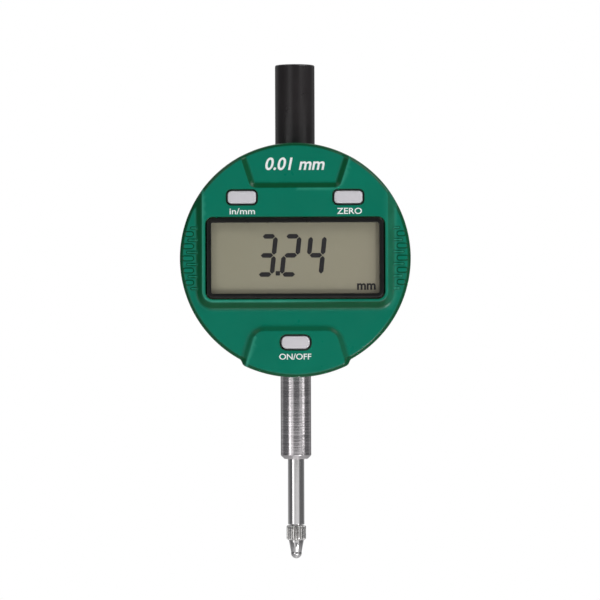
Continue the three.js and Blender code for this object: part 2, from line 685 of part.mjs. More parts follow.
function mechanism() {
  return [
    piece("inner_frame", "zinc", innerFrame()),
    ...frameScrews(),
    piece("stem", "steel", stemTube()),
    piece("stem_set_screw", "steel", rodY(1.5, STEM.radius + 0.25, FRAME.backY - 0.1, 0, STEM.setScrewZ, 20)),
    piece("stem_bush_lower", "brass", stemBush(STEM.endZ + 0.4, STEM.endZ + 8)),
    piece("stem_bush_upper", "brass", stemBush(STEM.topZ - 6, STEM.topZ)),
    piece("top_bush", "brass", topBush()),
    piece("guide_rod", "steel", rodZ(GUIDE.radius, FRAME.lowerZ - 1, FRAME.upperZ + 1, GUIDE.x, 0, 20)),
    piece("bumper_ring", "rubber", bumperRing()),
    piece("tension_spring", "steel", tensionSpring()),
  ];
}

// ---------------------------------------------------------------- plunger and its tip

function spindle() {
  const { radius, endZ, topZ } = SPINDLE;
  const hole = TIP_SHANK.radius + RUNNING;
  return turnedZ([
    [0, endZ + TIP_SHANK.length + 0.8], [hole, endZ + TIP_SHANK.length + 0.8],
    [hole, endZ], [radius - 0.2, endZ],
    [radius, endZ + 0.2], [radius, topZ - 0.4], [radius - 0.4, topZ], [0, topZ],
  ]);
}

/**
 * Block clamped on the plunger: it slides on the guide rod, so the plunger can't turn, and the spring pulls
 * its arm.
 */
function carriage() {
  const { left, right, bottomZ, topZ, frontY, backY, arm, screwZ, screwR } = CARRIAGE;
  const screwRoom = screwR + RUNNING;
  return without(
    joined(
      box([left, right], [frontY, backY], [bottomZ, topZ]),
      box([SPRING.x - 1.4, left + 1], [-1.6, 1.6], [topZ - arm, topZ]),
    ),
    rodZ(SPINDLE.radius + RUNNING, -30, 30),
    rodZ(GUIDE.radius + RUNNING, -30, 30, GUIDE.x, 0, 20),
    box([left - 1, -1], [-screwRoom, screwRoom], [screwZ - screwRoom, screwZ + screwRoom]),
  );
}

/** Set screw that clamps the carriage, flush with its left side. */
function carriageScrew() {
  const { left, screwZ, screwR } = CARRIAGE;
  const length = -SPINDLE.radius - 0.25 - left - 0.1;
  const geometry = new THREE.CylinderGeometry(screwR, screwR, length, 16).rotateZ(Math.PI / 2);
  return solid(geometry.translate(left + 0.1 + length / 2, 0, screwZ));
}

const encoderScale = () =>
  box([-SCALE.half, SCALE.half], [SCALE.backY - SCALE.thickness, SCALE.backY], [SCALE.bottomZ, SCALE.topZ]);

/** Screw-in contact point: a threaded shank, a knurled collar and a cone that holds the ball. */
function contactPoint() {
  const collarTopZ = SPINDLE.endZ - 0.2;
  const body = turnedZ([
    [0, TIP.coneEndZ], [TIP.coneEndR, TIP.coneEndZ], [TIP.coneTopR, TIP.collarEndZ],
    [TIP.collarR - 0.35, TIP.collarEndZ],
    [TIP.collarR, TIP.collarEndZ + 0.35], [TIP.collarR, collarTopZ - 0.3], [TIP.collarR - 0.3, collarTopZ],
    [TIP_SHANK.radius, collarTopZ], [TIP_SHANK.radius, SPINDLE.endZ + TIP_SHANK.length],
    [0, SPINDLE.endZ + TIP_SHANK.length],
  ], 40);
  const flutes = Array.from({ length: 20 }, (_, i) => {
    const angle = (2 * Math.PI * i) / 20;
    const reach = TIP.collarR + 0.12;
    const x = reach * Math.cos(angle);
    const y = reach * Math.sin(angle);
    return rodZ(0.25, TIP.collarEndZ - 0.5, collarTopZ + 0.5, x, y, 4);
  });
  const socket = new THREE.SphereGeometry(TIP.ballR + RUNNING, 16, 12).translate(0, 0, TIP.ballZ);
  return without(body, ...flutes, solid(socket));
}

function contactBall() {
  const sphere = new THREE.SphereGeometry(TIP.ballR, 20, 14);
  return solid(sphere.rotateX(Math.PI / 2).translate(0, 0, TIP.ballZ));
}

function plunger() {
  return [
    piece("spindle", "hardSteel", spindle()),
    piece("carriage", "brass", carriage()),
    piece("carriage_screw", "steel", carriageScrew()),
    piece("encoder_scale", "board", encoderScale()),
    piece("contact_point", "steel", contactPoint()),
    piece("contact_ball", "hardSteel", contactBall()),
  ];
}

/** Cap over the plunger's upper end, screwed on to the top bush's neck. */
function spindleCap() {
  const { radius, endZ, topZ, neckBore, bore, roof, chamfer } = CAP;
  const neckTopZ = TOP_BUSH.topZ + 0.4;
  return turnedZ([
    [neckBore, endZ], [radius, endZ], [radius, topZ - chamfer], [radius - chamfer, topZ], [0, topZ],
    [0, topZ - roof], [bore, topZ - roof], [bore, neckTopZ], [neckBore, neckTopZ], [neckBore, endZ],
  ], 48);
}

// ---------------------------------------------------------------- battery and data port

function batteryHolder() {
  const { radius, bore, frontY, floorY, backY } = BATTERY_HOLDER;
  return without(
    turnedY([
      [0, frontY], [radius, frontY], [radius, backY], [bore, backY], [bore, floorY], [0, floorY],
    ], 40, BATTERY.x),
    box([BATTERY.x - 1.4, BATTERY.x + 1.4], [-20, 20], [-0.5, 0.5]),
    box([BATTERY.x - 1.9, BATTERY.x + 1.9], [-20, 20], [5.9, 8]),
  );
}

/** Leaf under the cell, with a tail down to the board. */
const contactNegative = () =>
  joined(
    rodY(3.4, 0.45, 0.75, BATTERY.x, 0, 24),
    box([BATTERY.x - 1.1, BATTERY.x + 1.1], [BOARD_BACK_Y + 0.1, 0.6], [-0.2, 0.2]),
  );

/** Leaf beside the cell, with a tail down to the board. */
const contactPositive = () => box([BATTERY.x - 1.6, BATTERY.x + 1.6], [BOARD_BACK_Y + 0.1, 6.2], [6.2, 6.5]);

function batteryCover() {
  const { radius, boss, bossY, seatY, backY, slotWidth, slotDepth } = BATTERY_COVER;
  const headY = seatY + 0.2;
  const turned = turnedY([
    [0, bossY], [boss, bossY], [boss, headY], [radius, headY],
    [radius, backY - 0.35], [radius - 0.35, backY], [0, backY],
  ], 36, BATTERY.x);
  const slot = box(
    [BATTERY.x - slotWidth / 2, BATTERY.x + slotWidth / 2],
    [backY - slotDepth, backY + 1],
    [-radius * 0.78, radius * 0.78],
  );
  return turned.subtract(slot);
}

function dataConnector() {
  const body = box([21.3, 25.7], [BOARD_BACK_Y + 0.1, PORT.backY + 0.9], [-5.1, 5.1]);
  return body.subtract(box([22.8, 28], [PORT.frontY + 0.3, PORT.backY - 0.3], [-4.1, 4.1]));
}

/** Rubber cover: a curved flap flush with the case, and a plug in the slot. */
function portCover() {
  const grow = CLEARANCE;
  const flapHalf = PORT.pocketHalf - grow;
  const plugHalf = PORT.half - grow;
  const flapBlock = box([20, 32], [PORT.pocketFrontY + grow, PORT.pocketBackY - grow], [-flapHalf, flapHalf]);
  const ringInside = rodY(PORT.pocketR + grow, -21, 21, 0, 0, FINE);
  const ring = rodY(CASE_R - 0.1, -20, 20, 0, 0, FINE).subtract(ringInside);
  const plug = box([26.2, 29], [PORT.frontY + grow, PORT.backY - grow], [-plugHalf, plugHalf]);
  return joined(flapBlock.intersect(ring), plug);
}

function power() {
  return [
    piece("battery_holder", "blackPlastic", batteryHolder()),
    piece("battery", "steel", rodY(BATTERY.radius, BATTERY.frontY, BATTERY.backY, BATTERY.x, 0, 36)),
    piece("battery_contact_negative", "steel", contactNegative()),
    piece("battery_contact_positive", "steel", contactPositive()),
    piece("battery_cover", "blackPlastic", batteryCover()),
    piece("data_connector", "blackPlastic", dataConnector()),
    piece("port_cover", "rubber", portCover()),
  ];
}

// ---------------------------------------------------------------- assembly

const indicator = new THREE.Group();
indicator.name = "dial_indicator";
indicator.position.z = -STEM_MIDDLE_Z;
indicator.add(
  piece("front_cover", "greenPlastic", frontCover()),
  piece("rear_case", "greenPlastic", rearCase()),
  piece("lug_back", "aluminium", lugBack()),
  ...caseScrews(),
  ...electronics(),
  ...BUTTONS.map((spec) => piece(`button_${spec.name}`, "greyKey", button(spec))),
  ...mechanism(),
  ...plunger(),
  piece("spindle_cap", "blackGloss", spindleCap()),
  ...power(),
);

const assembly = new THREE.Group();
assembly.add(indicator);

export default assembly;
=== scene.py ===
"""A digital dial indicator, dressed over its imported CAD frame.

Metres, in the CAD's own frame: +Z up, the face looks along -Y. Shapes are written in millimetres from the
centre of the round dial, and moved into the frame when their mesh is made.
"""

import json
import math

import bmesh
import bpy
import numpy as np
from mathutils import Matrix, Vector
from mathutils.geometry import delaunay_2d_cdt


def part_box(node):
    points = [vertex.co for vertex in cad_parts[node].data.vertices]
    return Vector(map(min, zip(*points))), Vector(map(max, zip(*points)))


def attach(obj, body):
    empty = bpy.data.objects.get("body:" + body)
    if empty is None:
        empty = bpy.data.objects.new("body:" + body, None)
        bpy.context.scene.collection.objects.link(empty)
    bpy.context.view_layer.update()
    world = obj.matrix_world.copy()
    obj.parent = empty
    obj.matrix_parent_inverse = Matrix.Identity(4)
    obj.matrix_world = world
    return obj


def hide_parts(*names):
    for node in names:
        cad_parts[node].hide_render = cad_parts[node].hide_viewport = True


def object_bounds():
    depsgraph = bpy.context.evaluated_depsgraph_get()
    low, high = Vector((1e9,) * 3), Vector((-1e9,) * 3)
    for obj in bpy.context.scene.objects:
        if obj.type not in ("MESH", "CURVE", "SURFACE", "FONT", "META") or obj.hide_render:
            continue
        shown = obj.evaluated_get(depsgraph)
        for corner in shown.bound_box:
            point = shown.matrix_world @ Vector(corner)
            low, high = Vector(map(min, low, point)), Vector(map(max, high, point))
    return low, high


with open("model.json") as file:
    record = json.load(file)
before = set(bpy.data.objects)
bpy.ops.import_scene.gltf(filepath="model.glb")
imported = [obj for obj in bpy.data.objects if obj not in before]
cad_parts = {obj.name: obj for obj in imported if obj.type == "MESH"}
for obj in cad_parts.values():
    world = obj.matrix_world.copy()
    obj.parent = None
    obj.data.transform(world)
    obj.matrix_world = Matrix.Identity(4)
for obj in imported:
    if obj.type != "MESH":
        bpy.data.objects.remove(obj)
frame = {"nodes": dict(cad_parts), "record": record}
cad_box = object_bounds()

MM = 0.001
case_low, case_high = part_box("rear_case")
DIAL = Vector((0.0, 0.0, (case_low.z + case_high.z) / 2))


def mm_box(node):
    """A CAD node's lowest and highest corners, in millimetres from the dial's centre."""
    low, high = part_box(node)
    return (low - DIAL) / MM, (high - DIAL) / MM


cover_low, cover_high = mm_box("front_cover")
PLATEAU_Y = cover_low.y  # the raised panel
PAD_Y = PLATEAU_Y + 0.5  # pad under the power key
RECESS_Y = PLATEAU_Y + 0.9  # floor of the keystone recess
FACE_Y = PLATEAU_Y + 1.2  # face beside and below the panel
SPLIT_Y = cover_high.y
INSIDE_Y = FACE_Y + 1.8
COVER_R = cover_high.x
PAD_R = -cover_low.z
WALL = 1.6  # thickness of the cover's rim
RIM = 1.2  # radius of the round along the cover's front edge
EDGE = 0.22  # radius of the rounds at its openings
CREST, FOOT = 0.2, 0.5  # rounded shares of a slope, at its top and bottom
SLOPE_LEVELS = (0.0, 0.07, 0.13, 0.2, 0.35, 0.5, 0.62, 0.75, 0.87, 1.0)
RIB_LEVELS = (0.0, 0.1, 0.2, 0.35, 0.5, 0.67, 0.83, 1.0)

PANEL = {"half": 23.85, "bottom": -11.0, "corner": 2.4, "side": 2.4, "below": 3.1}
RECESS = {"narrow": 17.95, "half": 11.75, "lean": 0.322, "corner": 1.6, "slope": 2.3}
PAD = {"narrow": 19.3, "half": 10.1, "lean": 0.3, "corner": 1.7, "slope": 2.7, "skirt": 1.55}
RIB = {
    "count": 11,
    "pitch": 1.573,
    "height": 0.38,
    "narrow": {"half": 0.44, "inner": 25.75, "outer": 28.0, "flat": 0.3},
    "broad": {"half": 0.8, "inner": 27.0, "outer": 28.7, "flat": 0.6},
}
WINDOW = {"width": 46.5, "height": 21.25, "corner": 1.9}
KEYS = {
    "button_units": {"body": "key_units", "corner": 0.95},
    "button_zero": {"body": "key_zero", "corner": 0.95},
    "button_power": {"body": "key_power", "corner": 1.35},
}
KEY_GAP = 0.42
KEY_SIZE = (7.3, 3.2)
SPACE_OVER = 34.0  # keystone outlines run past the cover's edge to this height
GRID_ACROSS, GRID_UP = 1.3, 1.15  # spacing of the mesh's points between its lines


# ---------------------------------------------------------------- meshes


def add_object(name, verts, faces, normals_out=True, sharp=32.0):
    """A smooth-shaded mesh object from millimetre vertices, with edges over an angle left sharp."""
    mesh = bpy.data.meshes.new(name)
    points = np.asarray(verts, dtype=float) * MM + np.array(DIAL)
    mesh.from_pydata(points.tolist(), [], faces)
    if normals_out:
        shape = bmesh.new()
        shape.from_mesh(mesh)
        bmesh.ops.remove_doubles(shape, verts=shape.verts, dist=1e-7)
        bmesh.ops.recalc_face_normals(shape, faces=shape.faces)
        shape.to_mesh(mesh)
        shape.free()
    obj = bpy.data.objects.new(name, mesh)
    bpy.context.scene.collection.objects.link(obj)
    smooth(obj, sharp)
    return obj


def smooth(obj, sharp):
    obj.data.shade_smooth()
    obj.data.set_sharp_from_angle(angle=math.radians(sharp))


def bake_modifiers(obj):
    graph = bpy.context.evaluated_depsgraph_get()
    mesh = bpy.data.meshes.new_from_object(obj.evaluated_get(graph))
    obj.modifiers.clear()
    obj.data = mesh


def boolean(obj, operation, *tools, sharp=32.0):
    """Cuts or joins obj with the tools, which are used up."""
    for tool in tools:
        modifier = obj.modifiers.new("boolean", "BOOLEAN")
        modifier.operation = operation
        modifier.solver = "EXACT"
        modifier.object = tool
    bake_modifiers(obj)
    for tool in tools:
        bpy.data.objects.remove(tool)
    smooth(obj, sharp)


def soften(obj, width, angle, segments):
    """A small round on the edges that turn more than an angle."""
    modifier = obj.modifiers.new("bevel", "BEVEL")
    modifier.width = width * MM
    modifier.segments = segments
    modifier.limit_method = "ANGLE"
    modifier.angle_limit = math.radians(angle)
    modifier.use_clamp_overlap = True
    modifier.harden_normals = True
    bake_modifiers(obj)


def rounded(points, radius, closed=False, steps=5):
    """A polyline with arcs at its corners. A point may carry its own radius as a third number."""
    count = len(points)
    out = []
    for i, point in enumerate(points):
        here = np.array(point[:2], dtype=float)
        size = point[2] if len(point) > 2 else radius
        if size <= 0 or (not closed and i in (0, count - 1)):
            out.append(here)
            continue
        before = np.array(points[i - 1][:2], dtype=float) - here
        after = np.array(points[(i + 1) % count][:2], dtype=float) - here
        u = before / np.linalg.norm(before)
        v = after / np.linalg.norm(after)
        half = math.acos(max(-1.0, min(1.0, float(u @ v)))) / 2
        if half > math.radians(88):
            out.append(here)
            continue
        longest = 0.48 * min(np.linalg.norm(before), np.linalg.norm(after))
        reach = min(size / math.tan(half), longest)
        r = reach * math.tan(half)
        middle = (u + v) / np.linalg.norm(u + v)
        centre = here + middle * (r / math.sin(half))
        start = here + u * reach - centre
        end = here + v * reach - centre
        sweep = math.acos(max(-1.0, min(1.0, float(start @ end) / (r * r))))
        for step in range(steps + 1):
            t = step / steps
            a = math.sin((1 - t) * sweep) / math.sin(sweep)
            b = math.sin(t * sweep) / math.sin(sweep)
            out.append(centre + a * start + b * end)
    return out


def lathe(name, profile, axis="Z", x=0.0, other=0.0, segments=144, radius_at=None, sharp=32.0):
    """A profile of (radius, height) points turned about an upright axis, or one along Y, through x and other.
    radius_at may change the radius by angle."""
    verts = []
    rings = []
    for r, h in profile:
        if r < 1e-9:
            rings.append([len(verts)])
            verts.append((x, other, h) if axis == "Z" else (x, h, other))
            continue
        rings.append(list(range(len(verts), len(verts) + segments)))
        for i in range(segments):
            angle = 2 * math.pi * i / segments
            rr = radius_at(r, h, angle) if radius_at else r
            c, s = rr * math.cos(angle), rr * math.sin(angle)
            verts.append((x + c, other + s, h) if axis == "Z" else (x + c, h, other + s))
    faces = []
    pairs = list(zip(rings, rings[1:]))
    if len(rings[0]) > 1:
        pairs.append((rings[-1], rings[0]))
    for a, b in pairs:
        for i in range(segments):
            j = (i + 1) % segments
            if len(a) == 1:
                faces.append((a[0], b[i], b[j]))
            elif len(b) == 1:
                faces.append((a[i], b[0], a[j]))
            else:
                faces.append((a[i], b[i], b[j], a[j]))
    return add_object(name, verts, faces, sharp=sharp)


def turned(name, profile, radius=0.0, closed=False, steps=5, **where):
    """A lathe over a profile whose corners are rounded first."""
    return lathe(name, rounded(profile, radius, closed, steps), **where)


def round_rect(width, height, corner, x=0.0, z=0.0, steps=8):
    """An anticlockwise rounded rectangle in x and z."""
    u, v = width / 2 - corner, height / 2 - corner
    out = []
    for cx, cz, start in ((u, -v, -90), (u, v, 0), (-u, v, 90), (-u, -v, 180)):
        for step in range(steps + 1):
            angle = math.radians(start + 90 * step / steps)
            out.append((x + cx + corner * math.cos(angle), z + cz + corner * math.sin(angle)))
    return np.array(out)


def inset(outline, distance):
    """An anticlockwise outline moved inwards."""
    edge = np.roll(outline, -1, axis=0) - outline
    length = np.linalg.norm(edge, axis=1, keepdims=True)
    normal = np.stack([edge[:, 1], -edge[:, 0]], axis=1) / np.maximum(length, 1e-9)
    both = normal + np.roll(normal, 1, axis=0)
    both /= np.maximum(np.linalg.norm(both, axis=1, keepdims=True), 1e-9)
    scale = 1 / np.maximum((both * normal).sum(axis=1, keepdims=True), 0.3)
    return outline - both * scale * distance


def edge_rounding(radius, steps=4):
    """Pairs of (inset, drop from the face) that follow a quarter circle, from the side to the face."""
    angles = [math.pi / 2 * k / steps for k in range(steps + 1)]
    return [(radius * (1 - math.cos(a)), radius * (1 - math.sin(a))) for a in angles]


def loft(name, rings, closed=False, place=None, sharp=32.0):
    """A skin over (outline, depth) rings of as many points each, capped at both ends unless it closes."""
    count = len(rings[0][0])
    put = place or (lambda u, v, depth: (u, depth, v))
    verts = [put(u, v, depth) for outline, depth in rings for u, v in outline]
    faces = []
    total = len(rings)
    for k in range(total if closed else total - 1):
        for i in range(count):
            a, b = k * count + i, k * count + (i + 1) % count
            c, d = ((k + 1) % total) * count + i, ((k + 1) % total) * count + (i + 1) % count
            faces.append((a, b, d, c))
    if not closed:
        faces.append(tuple(range(count)))
        faces.append(tuple(range((total - 1) * count, total * count)))
    return add_object(name, verts, faces, sharp=sharp)


def slab(name, outline, back, front, front_round=0.2, back_round=0.0, place=None, dome=0.0, sharp=32.0):
    """An outline pushed from back to front, with rounded edges and perhaps a crowned face."""
    way = 1 if back > front else -1
    rings = []
    if back_round:
        rings += [(inset(outline, i), back - way * d) for i, d in reversed(edge_rounding(back_round))]
    else:
        rings.append((outline, back))
    rings += [(inset(outline, i), front + way * (d + dome)) for i, d in edge_rounding(front_round)]
    if dome:
        base = inset(outline, front_round)
        centre = base.mean(axis=0)
        for k in range(1, 5):
            rings.append((centre + (base - centre) * (1 - k / 5), front + way * dome * (1 - k / 5) ** 2))
    return loft(name, rings, place=place, sharp=sharp)


def rod(name, radius, h0, h1, axis="Z", x=0.0, other=0.0, segments=64):
    return lathe(name, [(0, h0), (radius, h0), (radius, h1), (0, h1)], axis, x, other, segments)


def settle(obj, body, slot, material, *nodes):
    """Gives a finished piece its material and body, and hides the CAD nodes that it stands for. Its slot is
    not used.
    """
    obj.data.materials.clear()
    obj.data.materials.append(material)
    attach(obj, body)
    if nodes:
        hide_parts(*nodes)
    return obj


# ---------------------------------------------------------------- materials


def srgb(r, g, b):
    """8-bit display colour as linear numbers."""
    out = []
    for v in (r, g, b):
        c = v / 255
        out.append(c / 12.92 if c <= 0.04045 else ((c + 0.055) / 1.055) ** 2.4)
    return (*out, 1.0)


class Nodes:
    """A material's node tree, with short calls for the nodes used here."""

    def __init__(self, name):
        self.material = bpy.data.materials.new(name)
        self.material.use_nodes = True
        self.tree = self.material.node_tree
        self.tree.nodes.clear()
        self.output = self.tree.nodes.new("ShaderNodeOutputMaterial")
        self.coords = self.tree.nodes.new("ShaderNodeTexCoord").outputs["Object"]

    def link(self, source, target):
        self.tree.links.new(source, target)

    def feed(self, target, value):
        """Links a socket to an input, or sets the input to a fixed value."""
        if isinstance(value, bpy.types.NodeSocket):
            self.link(value, target)
        elif value is not None:
            target.default_value = value

    def node(self, kind, **inputs):
        """A new node, with its inputs fed by name."""
        made = self.tree.nodes.new("ShaderNode" + kind)
        for name, value in inputs.items():
            self.feed(made.inputs[name.replace("_", " ")], value)
        return made

    def stretched(self, scale, turn=(0, 0, 0)):
        return self.node("Mapping", Scale=scale, Rotation=turn, Vector=self.coords).outputs["Vector"]

    def noise(self, scale, detail=3.0, rough=0.55, vector=None, distortion=0.0):
        where = vector or self.coords
        made = self.node(
            "TexNoise", Scale=scale, Detail=detail, Roughness=rough, Distortion=distortion, Vector=where
        )
        return made.outputs["Fac"]

    def voronoi(self, scale):
        return self.node("TexVoronoi", Scale=scale, Vector=self.coords).outputs["Distance"]

    def sloping(self):
        """1 where a surface that faces along Y is tilted, and 0 where it is flat or square to that."""
        axis = self.node("SeparateXYZ", Vector=self.node("TexCoord").outputs["Normal"])
        upright = self.maths("ABSOLUTE", axis.outputs["Y"], 0.0)
        tilted = self.remap(upright, 0.0, 1.0, 0.995, 0.9)
        return self.maths("MULTIPLY", tilted, self.remap(upright, 0.0, 1.0, 0.05, 0.25))

    def remap(self, value, low, high, from_low=0.25, from_high=0.75):
        made = self.node(
            "MapRange", From_Min=from_low, From_Max=from_high, To_Min=low, To_Max=high, Value=value
        )
        return made.outputs["Result"]

    def blend(self, factor, a, b):
        made = self.node("Mix")
        made.data_type = "RGBA"
        for socket, value in ((0, factor), (6, a), (7, b)):
            self.feed(made.inputs[socket], value)
        return made.outputs[2]

    def maths(self, operation, a, b):
        made = self.node("Math")
        made.operation = operation
        self.feed(made.inputs[0], a)
        self.feed(made.inputs[1], b)
        return made.outputs[0]

    def bump(self, height, distance, strength):
        return self.node("Bump", Strength=strength, Distance=distance, Height=height).outputs["Normal"]

    def surface(self, colour, roughness, normal, **fixed):
        shader = self.node("BsdfPrincipled", **fixed)
        for name, value in (("Base Color", colour), ("Roughness", roughness), ("Normal", normal)):
            self.feed(shader.inputs[name], value)
        self.link(shader.outputs["BSDF"], self.output.inputs["Surface"])
        return shader


def shade(colour, factor):
    return (*(min(1.0, c * factor) for c in colour[:3]), 1.0)


def moulded(
    name, colour, roughness, grain=5200.0, depth=0.000012, vary=0.07, specular=0.35, polished=None, highlight_tint=None
):
    """Moulded plastic: a fine spark-eroded grain, faint flow marks, and a polish that isn't quite even.
    Slopes are glossier and take a darker colour, which is painted shade; a lighter colour, which is painted
    highlight, goes where the mesh's painted highlight attribute says so."""
    n = Nodes(name)
    flow = n.noise(55.0, 4.0, 0.5, distortion=0.6)
    patch = n.noise(210.0, 3.0)
    tint = n.blend(n.remap(flow, 0.0, 1.0), shade(colour, 1 - vary), shade(colour, 1 + vary))
    specks = n.remap(n.noise(9000.0, 1.0), 0.0, 0.22, 0.58, 0.8)
    tint = n.blend(specks, tint, shade(colour, 1.35))
    fine = n.noise(grain, 2.0, 0.6)
    coarse = n.voronoi(grain * 0.45)
    height = n.maths("ADD", fine, n.maths("MULTIPLY", coarse, 0.5))
    rough = n.remap(patch, roughness - 0.05, roughness + 0.06)
    if polished:
        slope = n.sloping()
        # Painted shade: tilted faces take a darker colour, as if shade fell on them. Their lower roughness is
        # real gloss.
        tint = n.blend(slope, tint, polished)
        rough = n.maths("SUBTRACT", rough, n.maths("MULTIPLY", slope, 0.13))
    if highlight_tint:
        # Painted highlight: a lighter colour where the mesh's attribute marks crests, the right slope and the
        # rib ends.
        painted_highlight_share = n.node("Attribute")
        painted_highlight_share.attribute_name = "painted_highlight_share"
        share = n.maths("MULTIPLY", painted_highlight_share.outputs["Fac"], n.remap(patch, 0.55, 1.0))
        tint = n.blend(share, tint, highlight_tint)
    n.surface(tint, rough, n.bump(height, depth, 0.6), Specular_IOR_Level=specular)
    return n.material


def turned_metal(name, colour, roughness, ring_scale, depth, vary=0.12, axis=2):
    """Machined metal: tool marks that run round its axis, with lighter and darker bands."""
    n = Nodes(name)
    scale = [40.0 / ring_scale] * 3
    scale[axis] = 1.0
    around = n.stretched(tuple(scale))
    fine = n.noise(ring_scale, 4.0, 0.7, around)
    broad = n.noise(ring_scale * 0.12, 3.0, 0.6, around)
    patch = n.noise(130.0, 3.0)
    marks = n.maths("ADD", n.maths("MULTIPLY", fine, 0.6), n.maths("MULTIPLY", broad, 0.4))
    tint = n.blend(n.remap(marks, 0.0, 1.0, 0.35, 0.65), shade(colour, 1 - vary), shade(colour, 1 + vary))
    polish = n.remap(patch, roughness - 0.03, roughness + 0.03)
    rough = n.maths("ADD", n.remap(fine, -0.03, 0.05), polish)
    n.surface(tint, rough, n.bump(marks, depth, 0.7), Metallic=1.0, Specular_IOR_Level=0.5)
    return n.material


def cast_metal(name, colour, roughness):
    """Die-cast metal: a sandy skin with soft stains."""
    n = Nodes(name)
    sand = n.noise(2600.0, 3.0, 0.7)
    pits = n.voronoi(1300.0)
    stain = n.noise(70.0, 4.0, 0.6)
    tint = n.blend(n.remap(stain, 0.0, 1.0), shade(colour, 0.92), shade(colour, 1.08))
    height = n.maths("ADD", sand, n.maths("MULTIPLY", pits, 0.6))
    rough = n.remap(n.noise(400.0, 3.0), roughness - 0.06, roughness + 0.06)
    n.surface(tint, rough, n.bump(height, 0.00003, 0.6), Metallic=1.0)
    return n.material


def rubbery(name, colour):
    """Rubber: a dull fine grain with some dust on it."""
    n = Nodes(name)
    dust = n.noise(320.0, 4.0, 0.65)
    tint = n.blend(n.remap(dust, 0.0, 1.0, 0.4, 0.8), shade(colour, 0.9), shade(colour, 1.5))
    fine = n.noise(4200.0, 3.0, 0.7)
    n.surface(tint, n.remap(dust, 0.76, 0.9), n.bump(fine, 0.00002, 0.6), Specular_IOR_Level=0.3)
    return n.material


def painted_text(name, colour):
    """Pad-printed ink: slightly uneven cover with a soft sheen."""
    n = Nodes(name)
    cover = n.noise(2400.0, 3.0, 0.6)
    tint = n.blend(n.remap(cover, 0.0, 1.0), shade(colour, 0.88), colour)
    n.surface(tint, n.remap(cover, 0.42, 0.55), n.bump(cover, 0.000006, 0.5), Specular_IOR_Level=0.3)
    return n.material


def display_glass():
    """The LCD's olive reflector: faint mottling under a satin polariser, and a slow change of tone."""
    n = Nodes("display_reflector")
    axis = n.node("SeparateXYZ", Vector=n.coords)
    across = n.remap(axis.outputs["X"], 0.0, 1.0, -0.022, 0.022)
    tone = n.blend(across, srgb(173, 167, 147), srgb(176, 167, 148))
    slow = n.remap(n.noise(45.0, 3.0), 0.0, 1.0)
    tone = n.blend(slow, tone, srgb(168, 162, 141))
    mottle = n.noise(5200.0, 2.0)
    tone = n.blend(n.remap(mottle, 0.0, 0.3, 0.4, 0.8), tone, srgb(147, 140, 119))
    n.surface(tone, n.remap(mottle, 0.38, 0.5), n.bump(mottle, 0.000005, 0.4), Specular_IOR_Level=0.25)
    return n.material


def window_glass():
    """Clear window: light passes straight through, under a faint reflection with a few wipe marks."""
    n = Nodes("window_glass")
    wipe = n.noise(300.0, 4.0, 0.6, n.stretched((1.0, 1.0, 7.0), (0, 0.5, 0)))
    clear = n.node("BsdfTransparent", Color=(0.97, 0.975, 0.97, 1.0))
    rough = n.remap(wipe, 0.04, 0.12)
    gloss = n.node("BsdfPrincipled", Base_Color=(0.9, 0.92, 0.9, 1.0), Metallic=1.0, Roughness=rough)
    edge_on = n.maths("POWER", n.node("LayerWeight", Blend=0.5).outputs["Facing"], 4.0)
    share = n.maths("ADD", n.maths("MULTIPLY", edge_on, 0.6), n.remap(wipe, 0.018, 0.026))
    mix = n.node("MixShader")
    for socket, value in enumerate((share, clear.outputs[0], gloss.outputs[0])):
        n.link(value, mix.inputs[socket])
    n.link(mix.outputs[0], n.output.inputs["Surface"])
    return n.material


def circuit_board():
    """Solder mask over copper tracks, with fine fibres in the laminate."""
    n = Nodes("circuit_board")
    flat = n.stretched((1.0, 1.0, 1.0), (math.pi / 2, 0, 0))
    gap, track = (0, 0, 0, 1), (1, 1, 1, 1)
    brick = n.node(
        "TexBrick", Scale=190.0, Mortar_Size=0.09, Color1=gap, Color2=gap, Mortar=track, Vector=flat
    )
    spread = n.remap(n.noise(120.0, 2.0), 0.0, 1.0, 0.45, 0.55)
    tracks = n.maths("MULTIPLY", brick.outputs["Color"], spread)
    tint = n.blend(tracks, srgb(20, 78, 46), srgb(44, 128, 74))
    n.surface(tint, n.remap(n.noise(700.0, 3.0), 0.32, 0.5), n.bump(tracks, 0.00004, 0.5))
    return n.material


# Painted light on the green plastic: a darker colour for painted shade on slopes, and a lighter one for
# painted highlights.
SLOPE_SHADE_GREEN, HIGHLIGHT_GREEN = srgb(6, 80, 48), srgb(56, 156, 130)
GREEN = moulded(
    "green_plastic", srgb(4, 119, 95), 0.31, specular=0.2, polished=SLOPE_SHADE_GREEN, highlight_tint=HIGHLIGHT_GREEN
)
BLACK = moulded("black_plastic", srgb(22, 23, 22), 0.42, vary=0.12)
BEZEL = moulded("bezel_black", srgb(14, 15, 14), 0.3, grain=7000.0, depth=0.000006, vary=0.1, specular=0.4)
KEY = moulded("key_grey", srgb(212, 209, 214), 0.5, grain=4200.0, vary=0.02, specular=0.3)
STEEL = turned_metal("turned_steel", srgb(208, 203, 205), 0.2, 1900.0, 0.00007, vary=0.32)
GROUND = turned_metal("ground_steel", srgb(222, 220, 220), 0.11, 9000.0, 0.000003, vary=0.05)
TIP_STEEL = turned_metal("tip_steel", srgb(222, 220, 218), 0.16, 9000.0, 0.000002, vary=0.05)
POLISHED = turned_metal("polished_steel", srgb(214, 212, 212), 0.07, 9000.0, 0.000001, vary=0.05)
ANODISED = moulded("cap_black", srgb(34, 30, 31), 0.3, grain=6500.0, depth=0.000004, vary=0.12, specular=0.5)
BRASS = turned_metal("turned_brass", srgb(201, 163, 86), 0.28, 5000.0, 0.00001)
